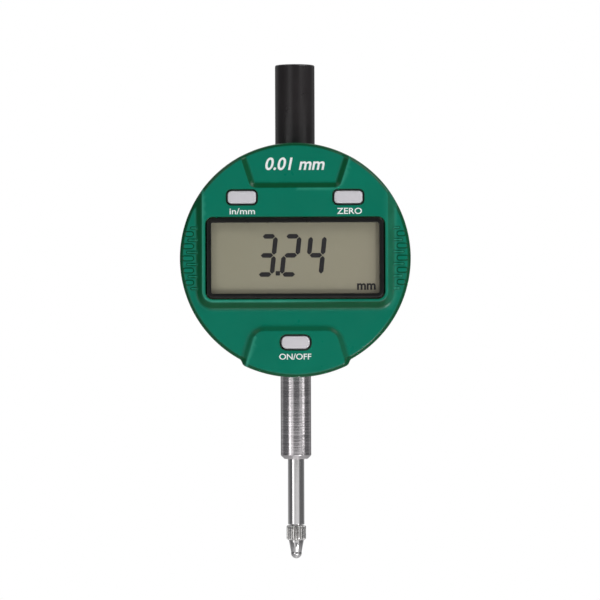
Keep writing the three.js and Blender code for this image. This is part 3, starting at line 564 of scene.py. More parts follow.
SCREW = turned_metal("screw_steel", srgb(182, 180, 178), 0.27, 4200.0, 0.00001, axis=1)
ALUMINIUM = cast_metal("cast_aluminium", srgb(176, 178, 180), 0.42)
ZINC = cast_metal("cast_zinc", srgb(150, 152, 155), 0.5)
RUBBER = rubbery("black_rubber", srgb(30, 30, 31))
WHITE_INK = painted_text("white_print", srgb(250, 252, 250))
DARK_INK = painted_text("display_ink", srgb(42, 38, 42))
LCD = display_glass()
GLASS = window_glass()
BOARD = circuit_board()

BY_SLOT = {
    "green_plastic": GREEN,
    "aluminium": ALUMINIUM,
    "steel": STEEL,
    "hard_steel": GROUND,
    "board": BOARD,
    "black_plastic": BLACK,
    "clear": GLASS,
    "display": LCD,
    "rubber": RUBBER,
    "grey_key": KEY,
    "zinc": ZINC,
    "brass": BRASS,
    "black_gloss": ANODISED,
}


def dress_cad_nodes():
    """Every CAD node gets its slot's material, so that the pieces inside the case are finished too."""
    slots = {part["node"]: part["material_slot"] for part in frame["record"]["subparts"]}
    for name, obj in frame["nodes"].items():
        material = SCREW if "_screw" in name else BY_SLOT[slots[name]]
        for place in obj.material_slots:
            place.material = material
        if not obj.material_slots:
            obj.data.materials.append(material)


# ---------------------------------------------------------------- front cover


def eased(t):
    """0 to 1 down a slope with a crisp crest and a soft foot."""
    t = np.clip(t, 0.0, 1.0)
    k = 1 / (1 - (CREST + FOOT) / 2)
    low, high = k * t * t / (2 * CREST), 1 - k * (1 - t) ** 2 / (2 * FOOT)
    return np.where(t < CREST, low, np.where(t > 1 - FOOT, high, k * (t - CREST / 2)))


def smooth_least(a, b, k):
    """The lesser of two distances, with their corner rounded."""
    share = np.maximum(k - np.abs(a - b), 0) / k
    return np.minimum(a, b) - share * share * k / 4


def panel_step(x, z):
    """0 on the raised panel, 1 past the foot of its slope."""
    r = PANEL["corner"]
    u = np.abs(x) - (PANEL["half"] - r)
    v = (PANEL["bottom"] + r) - z
    cu, cv = np.maximum(u, 0), np.maximum(v, 0)
    distance = np.hypot(cu, cv) + np.minimum(np.maximum(u, v), 0) - r
    share = cu * cu / np.maximum(cu * cu + cv * cv, 1e-9)
    return distance / (PANEL["side"] * share + PANEL["below"] * (1 - share))


def keystone_depth(shape, x, z):
    """Distance inside a keystone that widens away from the dial's centre, negative outside."""
    slant = math.hypot(1, shape["lean"])
    side = (shape["half"] + shape["lean"] * (z - shape["narrow"]) - np.abs(x)) / slant
    base = z - shape["narrow"]
    r = shape["corner"]
    u, v = r - side, r - base
    corner = r - np.hypot(np.maximum(u, 0), np.maximum(v, 0))
    return np.where((u > 0) & (v > 0), corner, np.minimum(side, base))


def rim_depth(x, z):
    """Distance inside the cover's edge, which is a circle with the power key's pad standing out of it."""
    radius = np.hypot(x, z)
    pad_blend, circle_blend = 1.2, 0.8
    pad = smooth_least(PAD_R - radius, keystone_depth(PAD, x, -z) + PAD["skirt"], pad_blend)
    return -smooth_least(radius - COVER_R, -pad, circle_blend)


def ribs():
    """Each finger rib on one side: height on the dial, centres of its ends, half its width, flat share."""
    for i in range(RIB["count"]):
        at = (i - (RIB["count"] - 1) / 2) * RIB["pitch"]
        kind = RIB["narrow"] if i % 2 == 0 else RIB["broad"]
        yield at, kind["inner"], math.sqrt(kind["outer"] ** 2 - at**2), kind["half"], kind["flat"]


def rib_height(x, z):
    """Finger ribs on both sides, narrow and broad in turn."""
    total = np.zeros_like(x)
    for at, inner, outer, half, flat in ribs():
        along = np.clip(np.abs(x), inner, outer)
        distance = np.hypot(np.abs(x) - along, z - at) / half
        total = np.maximum(total, RIB["height"] * (1 - eased((distance - flat) / (1 - flat))))
    return total


def opening_depths(x, z):
    """Distance outside each opening's edge."""
    out = []
    for width, height, corner, cx, cz in OPENINGS:
        u = np.abs(x - cx) - (width / 2 - corner)
        v = np.abs(z - cz) - (height / 2 - corner)
        inside = np.minimum(np.maximum(u, v), 0)
        out.append(np.hypot(np.maximum(u, 0), np.maximum(v, 0)) + inside - corner)
    return out


def quarter(distance, radius):
    """How far a rounded edge has dropped at a distance inside it."""
    inside = np.clip(radius - distance, 0, radius)
    return radius - np.sqrt(np.maximum(radius**2 - inside**2, 0))


def cover_surface(x, z):
    """The cover's outer surface, as y at each x and z."""
    height = (FACE_Y - PLATEAU_Y) * (1 - eased(panel_step(x, z)))
    height = height - (RECESS_Y - PLATEAU_Y) * eased(keystone_depth(RECESS, x, z) / RECESS["slope"])
    pad = (FACE_Y - PAD_Y) * (1 - eased(-keystone_depth(PAD, x, -z) / PAD["slope"]))
    height = np.maximum(height, pad) + rib_height(x, z)
    y = FACE_Y - height + quarter(np.maximum(rim_depth(x, z), 0), RIM)
    for distance in opening_depths(x, z):
        y = y + quarter(np.maximum(distance, 0), EDGE)
    return y


def hump(distance, middle, width):
    """A bell curve, 1 at its middle."""
    return np.exp(-(((distance - middle) / width) ** 2))


def painted_highlights(x, z):
    """Painted highlight, 0 to 1: light painted along crests, over the panel's right slope as if lit from that
    side, and as glints at the ends of the narrow ribs."""
    step = panel_step(x, z)
    panel_top, spot_size = 19, 0.42
    panel = hump(step, 0.06, 0.09) * np.clip(0.75 - x / 16, 0.0, 1.0) * (z < panel_top)
    right = 0.32 * np.clip((x - PANEL["half"] + 1) / 1.5, 0.0, 1.0) * (step < 1.05)
    recess = hump(keystone_depth(RECESS, x, z) / RECESS["slope"], 0.02, 0.1) * (x > 0) * 0.7
    pad = hump(-keystone_depth(PAD, x, -z) / PAD["slope"], 0.04, 0.12) * (x < 0) * 0.8
    pad = pad * (z < -PAD["narrow"] - 1)
    total = np.maximum(np.maximum(panel, right), np.maximum(recess, pad))
    for at, inner, outer, half, _ in ribs():
        if half == RIB["narrow"]["half"]:
            for end in (inner, outer - 0.2):
                spot = hump(np.hypot(np.abs(x) - end, z - at), 0.0, spot_size)
                total = np.maximum(total, spot * np.where(x > 0, 0.85 - at / 30, 0.4))
    return total


def face_place(node):
    """The middle of a CAD node in x and z."""
    low, high = mm_box(node)
    return (low.x + high.x) / 2, (low.z + high.z) / 2


OPENINGS = [(WINDOW["width"], WINDOW["height"], WINDOW["corner"], 0.0, 0.0)]
for node_name, key in KEYS.items():
    hole = (KEY_SIZE[0] + 2 * KEY_GAP, KEY_SIZE[1] + 2 * KEY_GAP, key["corner"] + KEY_GAP)
    OPENINGS.append((*hole, *face_place(node_name)))


def rim_line(depth, count=360):
    """Points at a depth inside the cover's edge, found along rays from the centre."""
    angles = 2 * np.pi * (np.arange(count) + 0.5) / count
    c, s = np.cos(angles), np.sin(angles)
    low, high = np.full(count, 5.0), np.full(count, 33.0)
    for _ in range(40):
        middle = (low + high) / 2
        inside = rim_depth(middle * c, middle * s) > depth
        low, high = np.where(inside, middle, low), np.where(inside, high, middle)
    return np.stack([low * c, low * s], axis=1)


def panel_line(t):
    """The raised panel's outline at a share t of its slope, open at the top."""
    r = PANEL["corner"]
    side, below = PANEL["side"] * t, PANEL["below"] * t
    path = [(PANEL["half"] + side, 30.0)]
    path += [(PANEL["half"] + side, -step * 1.05 + PANEL["bottom"] + r) for step in range(-24, 1)]
    for step in range(1, 13):
        a = math.pi / 2 * step / 12
        share = math.cos(a) ** 2
        reach = r + side * share + below * (1 - share)
        path.append((PANEL["half"] - r + reach * math.cos(a), PANEL["bottom"] + r - reach * math.sin(a)))
    right = np.array(path)
    left = right[::-1] * np.array([-1, 1])
    middle = np.linspace(right[-1], left[0], 40)[1:-1]
    return np.vstack([right, middle, left])


def keystone_line(shape, sign, depth):
    """A keystone's outline at a depth inside it, open at its wide end. Sign -1 turns it upside down."""
    slant = math.hypot(1, shape["lean"])
    base = shape["narrow"] + depth
    corner = max(shape["corner"] - depth, 0.15)
    half = shape["half"] + shape["lean"] * depth - slant * depth
    outer = half + shape["lean"] * (SPACE_OVER - base)
    path = [(outer, SPACE_OVER), (half, base, corner), (-half, base, corner), (-outer, SPACE_OVER)]
    return densified(np.array(rounded(path, 0, steps=10)), 1.0) * np.array([1, sign])


def cover_lines():
    """Lines that the cover's mesh follows, each with whether it closes: rims, slopes, ribs and openings."""
    lines = [(rim_line(RIM * (1 - math.cos(math.pi / 2 * k / 8))), True) for k in range(9)]
    lines += [(panel_line(t), False) for t in SLOPE_LEVELS]
    lines += [(keystone_line(RECESS, 1, t * RECESS["slope"]), False) for t in SLOPE_LEVELS]
    lines += [(keystone_line(PAD, -1, -t * PAD["slope"]), False) for t in SLOPE_LEVELS]
    for side in (1, -1):
        for at, inner, outer, widest, flat in ribs():
            middle = side * (inner + outer) / 2
            for t in RIB_LEVELS:
                half = widest * (flat + (1 - flat) * t)
                ring = round_rect(outer - inner + 2 * half, 2 * half, half * 0.999, middle, at, 5)
                lines.append((densified(ring, 0.6, True), True))
            lines.append((np.array([[side * inner, at], [side * outer, at]]), False))
    for width, height, corner, cx, cz in OPENINGS:
        for k in range(4):
            grow = EDGE * (1 - math.cos(math.pi / 2 * k / 3))
            ring = round_rect(width + 2 * grow, height + 2 * grow, corner + grow, cx, cz, 8)
            lines.append((densified(ring, 1.2, True), True))
    return lines


def densified(path, step, closed=False):
    """A polyline with points added so that none of its edges is longer than step."""
    out = []
    count = len(path)
    for i in range(count if closed else count - 1):
        a, b = path[i], path[(i + 1) % count]
        pieces = max(1, math.ceil(float(np.linalg.norm(b - a)) / step))
        out += [a + (b - a) * k / pieces for k in range(pieces)]
    if not closed:
        out.append(path[-1])
    return np.array(out)


def inner_sheet(flat, out_normal, border_points, outside):
    """The inside face of the cover, whose outer border is drawn in to leave the thickness of the wall."""
    x, z = flat[:, 0], flat[:, 1]
    eps, reach = 0.01, 3.2
    slope_x = rim_depth(x + eps, z) - rim_depth(x - eps, z)
    slope_z = rim_depth(x, z + eps) - rim_depth(x, z - eps)
    slope = np.stack([slope_x, slope_z], axis=1)
    slope /= np.maximum(np.linalg.norm(slope, axis=1, keepdims=True), 1e-9)
    pull = WALL * np.clip(1 - rim_depth(x, z) / reach, 0.0, 1.0)
    moved = flat + slope * pull[:, None]
    for i in border_points:
        moved[i] = flat[i] - out_normal[i] * (WALL if outside[i] else 0.0)
    normals = np.zeros((len(flat), 3))
    normals[:, 1] = 1.0
    return np.stack([moved[:, 0], np.full(len(flat), INSIDE_Y + 0.001), moved[:, 1]], axis=1), normals


def cover_triangles():
    """The cover in x and z, as points and triangles whose edges follow the lines of its relief."""
    points, edges = [], []
    for path, closed in cover_lines():
        keep = rim_depth(path[:, 0], path[:, 1]) > -1e-4
        first = len(points)
        points += path.tolist()
        count = len(path)
        for i in range(count if closed else count - 1):
            j = (i + 1) % count
            if keep[i] and keep[j]:
                edges.append((first + i, first + j))
    used = sorted({i for edge in edges for i in edge})
    index = {old: new for new, old in enumerate(used)}
    points = [points[i] for i in used]
    edges = [(index[a], index[b]) for a, b in edges]
    for row in range(int(2 * PAD_R / GRID_UP)):
        z = -PAD_R + row * GRID_UP
        for column in range(-28, 29):
            x = column * GRID_ACROSS + (GRID_ACROSS / 2 if row % 2 else 0)
            if rim_depth(np.array(x), np.array(z)) > RIM:
                points.append([x, z])
    result = delaunay_2d_cdt([Vector(p) for p in points], edges, [], 0, 1e-4)
    flat = np.array([tuple(v) for v in result[0]])
    triangles = np.array([tuple(f) for f in result[2]])
    middle = flat[triangles].mean(axis=1)
    keep = rim_depth(middle[:, 0], middle[:, 1]) > 0.0
    for distance in opening_depths(middle[:, 0], middle[:, 1]):
        keep &= distance > 0.0
    triangles = triangles[keep]
    corner = flat[triangles]
    area = np.cross(corner[:, 1] - corner[:, 0], corner[:, 2] - corner[:, 0])
    solid = np.abs(area) > 1e-7
    triangles, area = triangles[solid], area[solid]
    triangles[area < 0] = triangles[area < 0][:, ::-1]
    used = np.unique(triangles)
    renumber = np.full(len(flat), -1)
    renumber[used] = np.arange(len(used))
    return flat[used], renumber[triangles]


def relief_normals(x, z):
    """The directions in which the cover's outer surface faces."""
    eps = 0.004
    slope_x = (cover_surface(x + eps, z) - cover_surface(x - eps, z)) / (2 * eps)
    slope_z = (cover_surface(x, z + eps) - cover_surface(x, z - eps)) / (2 * eps)
    normals = np.stack([slope_x, -np.ones_like(x), slope_z], axis=1)
    return normals / np.linalg.norm(normals, axis=1, keepdims=True)


# Down the rim's wall and over its back edge: depth, pull inwards and turn of the normal towards the back.
RIM_WALL = (
    (SPLIT_Y - 0.3, 0, 0),
    (SPLIT_Y - 0.2, 0.05, 0.4),
    (SPLIT_Y - 0.08, 0.15, 0.8),
    (SPLIT_Y, 0.3, 1.0),
    (SPLIT_Y, WALL, 1.0),
)


def front_cover():
    """The cover as a closed body: its relief, the walls of its rim and openings, and its inside face."""
    flat, triangles = cover_triangles()
    x, z = flat[:, 0], flat[:, 1]
    verts = np.stack([x, cover_surface(x, z), z], axis=1)
    normals = relief_normals(x, z)

    seen = {(u, v) for a, b, c in triangles for u, v in ((a, b), (b, c), (c, a))}
    border = [(u, v) for a, b, c in triangles for u, v in ((a, b), (b, c), (c, a)) if (v, u) not in seen]
    out_normal = np.zeros((len(verts), 2))
    for u, v in border:
        d = flat[v] - flat[u]
        n = np.array([d[1], -d[0]])
        out_normal[u] += n
        out_normal[v] += n
    border_points = sorted({i for edge in border for i in edge})
    for i in border_points:
        out_normal[i] /= max(np.linalg.norm(out_normal[i]), 1e-12)
        normals[i] = (out_normal[i][0], 0.0, out_normal[i][1])
    outside = {i: rim_depth(flat[i][0], flat[i][1]) < 0.05 for i in border_points}
    all_verts, all_normals = [verts], [normals]
    total = len(verts)
    faces = [tuple(int(i) for i in t) for t in triangles]
    previous = {i: i for i in border_points}
    for step, (rim_y, rim_pull, rim_tilt) in enumerate(RIM_WALL, 1):
        ring, ring_normals, current = [], [], {}
        for i in border_points:
            n = out_normal[i]
            if outside[i]:
                ring.append((flat[i][0] - n[0] * rim_pull, rim_y, flat[i][1] - n[1] * rim_pull))
                normal = np.array([n[0] * (1 - rim_tilt), rim_tilt, n[1] * (1 - rim_tilt)])
            else:
                deep = verts[i][1] + (INSIDE_Y - verts[i][1]) * step / len(RIM_WALL)
                ring.append((flat[i][0], deep, flat[i][1]))
                normal = np.array([n[0], 0.0, n[1]])
            ring_normals.append(normal / np.linalg.norm(normal))
            current[i] = total + len(ring) - 1
        all_verts.append(np.array(ring))
        all_normals.append(np.array(ring_normals))
        for u, v in border:
            faces.append((int(previous[v]), int(previous[u]), int(current[u]), int(current[v])))
        total += len(ring)
        previous = current
    sheet, sheet_normals = inner_sheet(flat, out_normal, border_points, outside)
    faces += [(total + int(a), total + int(c), total + int(b)) for a, b, c in triangles]
    for u, v in border:
        faces.append((int(previous[v]), int(previous[u]), total + int(u), total + int(v)))
    verts = np.vstack([*all_verts, sheet])
    normals = np.vstack([*all_normals, sheet_normals])
    obj = add_object("front_cover_shell", verts, faces, normals_out=False, sharp=180)
    obj.data.normals_split_custom_set_from_vertices(normals.tolist())
    # Painted highlight along crests, on the right slope and at the rib ends, kept on the mesh for its
    # material.
    painted_highlight_share = np.zeros(len(verts))
    painted_highlight_share[: len(flat)] = painted_highlights(x, z)
    obj.data.attributes.new("painted_highlight_share", "FLOAT", "POINT").data.foreach_set("value", painted_highlight_share)
    settle(obj, "case", "green_plastic", GREEN, "front_cover")


# ---------------------------------------------------------------- lettering


def in_order(elements, place):
    """Sorts mesh elements by their places, because an extrusion leaves them in an order that varies."""
    ranked = sorted(elements, key=lambda element: tuple(place(element)))
    rank = {element: k for k, element in enumerate(ranked)}
    elements.sort(key=lambda element: rank[element])


def lettering(name, text, x_range, z_range, y, slot, material, bold, slant=0.0, depth=0.02):
    """Printed letters that fill a rectangle on the face."""
    curve = bpy.data.curves.new(name, "FONT")
    curve.body = text
    curve.size = 1.0
    curve.offset = bold
    curve.resolution_u = 8
    maker = bpy.data.objects.new(name + "_maker", curve)
    bpy.context.scene.collection.objects.link(maker)
    graph = bpy.context.evaluated_depsgraph_get()
    flat = bpy.data.meshes.new_from_object(maker.evaluated_get(graph))
    bpy.data.objects.remove(maker)
    points = np.array([tuple(v.co) for v in flat.vertices])
    faces = [tuple(p.vertices) for p in flat.polygons]
    points[:, 0] += points[:, 1] * slant
    low, high = points.min(axis=0), points.max(axis=0)
    u = (points[:, 0] - low[0]) / (high[0] - low[0])
    v = (points[:, 1] - low[1]) / (high[1] - low[1])
    x = x_range[0] + u * (x_range[1] - x_range[0])
    z = z_range[0] + v * (z_range[1] - z_range[0])
    front = np.stack([x, np.full_like(x, y - depth), z], axis=1)
    obj = add_object(name, front, faces, normals_out=False)
    shape = bmesh.new()
    shape.from_mesh(obj.data)
    bmesh.ops.remove_doubles(shape, verts=shape.verts, dist=1e-8)
    made = bmesh.ops.extrude_face_region(shape, geom=list(shape.faces))
    bmesh.ops.translate(
        shape,
        verts=[v for v in made["geom"] if isinstance(v, bmesh.types.BMVert)],
        vec=(0, depth * MM * 1.5, 0),
    )
    bmesh.ops.recalc_face_normals(shape, faces=shape.faces)
    in_order(shape.verts, lambda vertex: vertex.co)
    in_order(shape.faces, lambda face: face.calc_center_median())
    shape.to_mesh(obj.data)
    shape.free()
    smooth(obj, 30)
    settle(obj, "case", slot, material)


PRINT_LIFT = 0.005  # how far the ink's back stands off the plastic
LABELS = (  # name, text, x range, z range, depth of the surface, weight, slant
    ("label_units", "in/mm", (-17.0, -10.4), (11.35, 12.95), PLATEAU_Y, 0.012, 0.0),
    ("label_zero", "ZERO", (10.85, 17.3), (11.35, 12.95), PLATEAU_Y, 0.012, 0.0),
    ("label_power", "ON/OFF", (-4.25, 4.05), (-26.35, -24.8), PAD_Y, 0.012, 0.0),
    ("label_step", "0.01 mm", (-7.7, 7.7), (22.8, 26.1), RECESS_Y, 0.02, 0.2),
)


def printed_labels():
    for name, text, x_range, z_range, y, bold, slant in LABELS:
        lettering(name, text, x_range, z_range, y - PRINT_LIFT, "grey_key", WHITE_INK, bold, slant)


# ---------------------------------------------------------------- display

DIGITS = {"3": "abgcd", "2": "abged", "4": "fgbc"}
DIGIT = {"height": 11.1, "width": 3.55, "stroke": 1.2, "gap": 0.13, "slant": 0.105, "low": -4.85}
DIGIT_X = (("3", -7.35), ("2", -1.2), ("4", 5.35))


def digit_segments(digit, centre):
    """The lit segments of one digit as six-sided outlines."""
    half, tall = DIGIT["width"] / 2, DIGIT["height"] - DIGIT["stroke"]
    low = DIGIT["low"] + DIGIT["stroke"] / 2
    left, right, middle, top = -half, half, low + tall / 2, low + tall
    ends = {
        "a": ((left, top), (right, top)),
        "b": ((right, middle), (right, top)),
        "c": ((right, low), (right, middle)),
        "d": ((left, low), (right, low)),
        "e": ((left, low), (left, middle)),
        "f": ((left, middle), (left, top)),
        "g": ((left, middle), (right, middle)),
    }
    h = DIGIT["stroke"] / 2
    for key in DIGITS[digit]:
        p, q = (np.array(v) for v in ends[key])
        way = (q - p) / np.linalg.norm(q - p)
        side = np.array([-way[1], way[0]]) * h
        p, q = p + way * DIGIT["gap"], q - way * DIGIT["gap"]
        after, before = p + way * h, q - way * h
        outline = np.array([p, after - side, before - side, q, before + side, after + side])
        outline[:, 0] += centre + (outline[:, 1] - DIGIT["low"] - DIGIT["height"] / 2) * DIGIT["slant"]
        yield key, np.array(rounded([tuple(v) for v in outline], 0.16, closed=True, steps=3))


def display():
    """The digits, the point and the unit on the LCD, and the black frame around it."""
    front = mm_box("lcd_panel")[0].y
    marks = []
    for number, (digit, centre) in enumerate(DIGIT_X):
        for key, outline in digit_segments(digit, centre):
            marks.append((f"digit_{number + 1}_{key}", outline))
    marks.append(("digit_point", round_rect(1.15, 1.15, 0.2, -4.55, -3.95)))
    for name, outline in marks:
        settle(slab(name, outline, front + 0.02, front - 0.05, 0.015), "case", "display", DARK_INK)
    lettering("unit_sign", "mm", (16.0, 20.85), (-8.3, -6.6), front, "display", DARK_INK, 0.035, depth=0.04)

    low, high = mm_box("display_bezel")
    outer = round_rect(WINDOW["width"] - 0.6, WINDOW["height"] - 0.6, 1.6)
    inner = round_rect(43.6, 18.4, 0.55)
    rings = [(outer, high.y)]
    rings += [(inset(outer, i), low.y + d) for i, d in edge_rounding(0.25)]
    rings += [(inset(inner, -i), low.y + d) for i, d in reversed(edge_rounding(0.18))]
    rings.append((inner, PLATEAU_Y + 0.42))
    rings.append((inner, high.y))
    settle(loft("bezel_frame", rings, closed=True), "case", "black_plastic", BEZEL, "display_bezel")


# ---------------------------------------------------------------- keys, cap and plunger


def keys():
    """Each key's cap, the flange that holds it in and the pin that presses its switch."""
    for node, spec in KEYS.items():
        low, high = mm_box(node)
        x, z = face_place(node)
        outline = round_rect(KEY_SIZE[0], KEY_SIZE[1], spec["corner"], x, z, 10)
        cap = slab(node + "_cap", outline, INSIDE_Y + 0.4, low.y, 0.32, dome=0.06)
        outline = round_rect(KEY_SIZE[0] + 1.3, KEY_SIZE[1] + 1.3, 1.0, x, z)
        flange = slab(node + "_flange", outline, INSIDE_Y + 1.0, INSIDE_Y + 0.25)
        pin = rod(node + "_pin", 1.3, INSIDE_Y + 0.5, high.y, "Y", x, z, 32)
        for piece in (cap, flange, pin):
            settle(piece, spec["body"], "grey_key", KEY, node)


def spindle_cap():
    """A tube with a closed top, drawn from the middle of the top's underside to the middle of its face."""
    low, high = mm_box("spindle_cap")
    r, bore, mouth = high.x, 2.8, 3.2
    step = low.z + 6.2
    under = high.z - 1.5
    profile = [(0.0, under), (bore, under), (bore, step), (mouth, step), (mouth, low.z)]
    profile += [(r, low.z, 0.2), (r, high.z, 0.45), (0.0, high.z)]
    obj = turned("cap_tube", profile, segments=160)
    settle(obj, "case", "black_gloss", ANODISED, "spindle_cap")


def stem():
    low, high = mm_box("stem")
    r, bore = high.x, 2.7
    profile = [(bore, low.z, 0.06), (r - 0.95, low.z, 0.3), (r, low.z + 0.95, 0.5)]
    profile += [(r, high.z, 0.1), (bore, high.z, 0.1)]
    tube = turned("stem_tube", profile, 0.1, closed=True, steps=6, segments=192)
    settle(tube, "case", "steel", STEEL, "stem")


def spindle():
    low, high = mm_box("spindle")
    r = high.x
    profile = [(0, low.z), (r, low.z, 0.2), (r, high.z, 0.4), (0, high.z)]
    shaft = turned("spindle_rod", profile, 0.2, steps=6)
    settle(shaft, "plunger", "hard_steel", GROUND, "spindle")


def contact_point():
    """A straight-knurled collar, a polished cone, the shank in the plunger and the ball in the cone's end."""
    high = mm_box("contact_point")[1]
    ball_low, ball_high = mm_box("contact_ball")
    r = high.x
    top = mm_box("spindle")[0].z - 0.2
    foot = top - 3.9
    teeth, cut, sharpness = 20, 0.45, 1.9

    def knurl(radius, height, angle):
        wave = abs((angle * teeth / (2 * math.pi)) % 1 - 0.5) * 2
        return min(radius, r - cut * max(0.0, 1 - wave * sharpness))

    profile = [(0, foot), (r - 0.5, foot), (r - 0.32, foot + 0.05), (r - 0.05, foot + 0.32), (r, foot + 0.45)]
    profile += [(r, foot + 0.45 + (top - foot - 0.8) * k / 4) for k in range(1, 4)]
    profile += [(r, top - 0.35), (r - 0.05, top - 0.28), (r - 0.32, top - 0.03), (r - 0.5, top), (0, top)]
    collar = lathe("tip_collar", profile, segments=teeth * 12, radius_at=knurl, sharp=60)
    settle(collar, "plunger", "steel", TIP_STEEL, "contact_point")

    ball_r = ball_high.x
    ball_z = (ball_low.z + ball_high.z) / 2
    over_middle = 0.35
    rim = ball_z + over_middle
    grip = math.sqrt(ball_r**2 - over_middle**2)
    cone = [(0, foot + 0.02), (1.95, foot + 0.02, 0.1), (grip + 0.02, rim, 0.03)]
    cone += [(grip - 0.12, rim, 0.0), (0, rim + 0.4)]
    settle(turned("tip_cone", cone, steps=4), "plunger", "steel", POLISHED, "contact_point")
    shank = [(0, top - 0.05), (1.15, top - 0.05), (1.15, high.z - 0.2, 0.1), (0, high.z)]
    settle(turned("tip_shank", shank, segments=48), "plunger", "steel", STEEL, "contact_point")
    arc = [
        (ball_r * math.sin(math.pi * k / 40), ball_z - ball_r * math.cos(math.pi * k / 40)) for k in range(41)
    ]
    arc[0], arc[-1] = (0, ball_z - ball_r), (0, ball_z + ball_r)
    settle(lathe("tip_ball", arc, segments=96), "plunger", "hard_steel", POLISHED, "contact_ball")


# ---------------------------------------------------------------- case and back


def rear_case():
    """The green ring behind the cover, with the holes for the stem, the cap and its bush, and the port."""
    low, high = mm_box("rear_case")
    r = high.x
    front, back = SPLIT_Y + 0.3, high.y
    inside, spigot, socket = r - 2, r - 1.8, r - 2.9
    profile = [(socket, low.y), (spigot, low.y, 0.1), (spigot, front, 0.0), (r, front, 0.3), (r, back, 1.9)]
    profile += [(25.8, back, 0.25), (25.8, back - 2.1), (22.0, back - 2.1), (22.0, back - 3.2)]
    profile += [(inside, back - 3.2), (inside, front + 0.4), (socket, front + 0.4)]
    case = turned("case_ring", profile, closed=True, steps=8, axis="Y", segments=240)
    cap_low, cap_high = mm_box("spindle_cap")
    cutters = [
        rod("cut_stem", mm_box("stem")[1].x + 0.15, -r - 1, -20, segments=96),
        rod("cut_cap", cap_high.x + 0.3, cap_low.z - 0.3, r + 1, segments=96),
        rod("cut_bush", 3.15, 20, r + 1, segments=96),
        port_pocket(*mm_box("port_cover")),
    ]
    boolean(case, "DIFFERENCE", *cutters)
    settle(case, "case", "green_plastic", GREEN, "rear_case")


def on_case(radius):
    """Puts a point of an outline in y and z on a cylinder about the dial's axis."""
    return lambda u, v, depth: (math.sqrt((radius + depth) ** 2 - v * v), u, v)


def port_pocket(low, high):
    width, height = high.y - low.y + 0.6, high.z - low.z + 0.6
    outline = round_rect(width, height, 0.9, (low.y + high.y) / 2, (low.z + high.z) / 2, 6)
    outline = densified(outline, 0.6, True)
    return loft("cut_port", [(outline, -1.1), (outline, 1.5)], place=on_case(29.4))


def port_cover():
    """A rubber flap flush with the case, and its plug behind."""
    low, high = mm_box("port_cover")
    y, z = (low.y + high.y) / 2, (low.z + high.z) / 2
    outline = densified(round_rect(high.y - low.y, high.z - low.z, 0.7, y, z, 6), 0.6, True)
    flap = slab("port_flap_skin", outline, -0.8, 0.0, 0.18, 0.05, place=on_case(29.38))
    outline = densified(round_rect(2.6, 8.6, 0.4, y + 0.05, z, 4), 0.8, True)
    plug = slab("port_flap_plug", outline, -0.7, -2.6, 0.2, place=on_case(29.38))
    for piece in (flap, plug):
        settle(piece, "port_flap", "rubber", RUBBER, "port_cover")


def lug_back():
    """The screwed back: a disc, a raised foot and the lug with its hole."""
    low, high = mm_box("lug_back")
    r = high.x
    face = 9.0
    disc_profile = [(0, low.y), (r, low.y, 0.1), (r, face, 0.45), (0, face)]
    disc = turned("back_disc", disc_profile, steps=6, axis="Y", segments=192)
    foot = slab("back_foot", round_rect(14.0, 21.0, 2.0), face - 0.3, face + 0.8, 0.35, sharp=30)
    hole_y, hole_r, lug_r, half = high.y - 6.5, 3.25, 6.5, 2.5
    root, tangent = 9.0, math.radians(66)
    tip = [(hole_y + lug_r * math.cos(a), lug_r * math.sin(a)) for a in np.linspace(-tangent, tangent, 40)]
    outline = [(face - 0.3, -root), (face + 0.5, -root), *tip, (face + 0.5, root), (face - 0.3, root)]
    outline = np.array(outline)
    rings = [(inset(outline, i), -half + d) for i, d in reversed(edge_rounding(0.45))]
    rings += [(inset(outline, i), half - d) for i, d in edge_rounding(0.45)]
    lug = loft("back_lug", rings, place=lambda u, v, depth: (depth, u, v), sharp=40)
    wide, past = hole_r + 0.6, 4
    profile = [(0, -past), (wide, -past), (wide, -half - 0.01), (hole_r, -half + 0.5)]
    profile += [(hole_r, half - 0.5), (wide, half + 0.01), (wide, past), (0, past)]
    bore = lathe("cut_lug", profile, segments=96)
    turn_to_x(bore, hole_y)
    boolean(lug, "DIFFERENCE", bore, sharp=30)
    boolean(disc, "UNION", foot, lug, sharp=30)
    x = face_place("battery_cover")[0]
    cutters = [
        rod("cut_boss", 6.5, 5, 12, "Y", x, 0, 96),
        rod("cut_cover", 7.5, 7.7, 12, "Y", x, 0, 96),
    ]
    for number in range(1, 5):
        sx, sz = face_place(f"case_screw_{number}")
        cutters.append(rod("cut_screw", 1.95, face - 1.2, 12, "Y", sx, sz, 48))
    boolean(disc, "DIFFERENCE", *cutters, sharp=30)
    soften(disc, 0.1, angle=50, segments=2)
    settle(disc, "case", "aluminium", ALUMINIUM, "lug_back")


def turn_to_x(obj, y):
    """Turns an upright cutter about the dial's centre so that it lies along X through a depth y."""
    for vertex in obj.data.vertices:
        a, b, c = (vertex.co - DIAL) / MM
        vertex.co = Vector((c, b + y, a)) * MM + DIAL
    obj.data.flip_normals()


def battery_cover():
    """The round cover over the coin cell, with a sunk middle and a coin slot."""
    low, high = mm_box("battery_cover")
    x, r = (low.x + high.x) / 2, (high.x - low.x) / 2
    sunk = high.y - 0.15
    profile = [(0, low.y), (6.2, low.y), (6.2, 7.9), (r, 7.9, 0.1), (r, high.y, 0.4)]
    profile += [(r - 1.1, high.y, 0.05), (r - 1.3, sunk, 0.05), (0, sunk)]
    cover = turned("battery_lid", profile, axis="Y", x=x)
    slot = slab("cut_slot", round_rect(1.6, 11.2, 0.79, x, 0.0, 10), high.y + 1, high.y - 0.95, 0.3)
    boolean(cover, "DIFFERENCE", slot, sharp=30)
    settle(cover, "battery_door", "black_plastic", BLACK, "battery_cover")


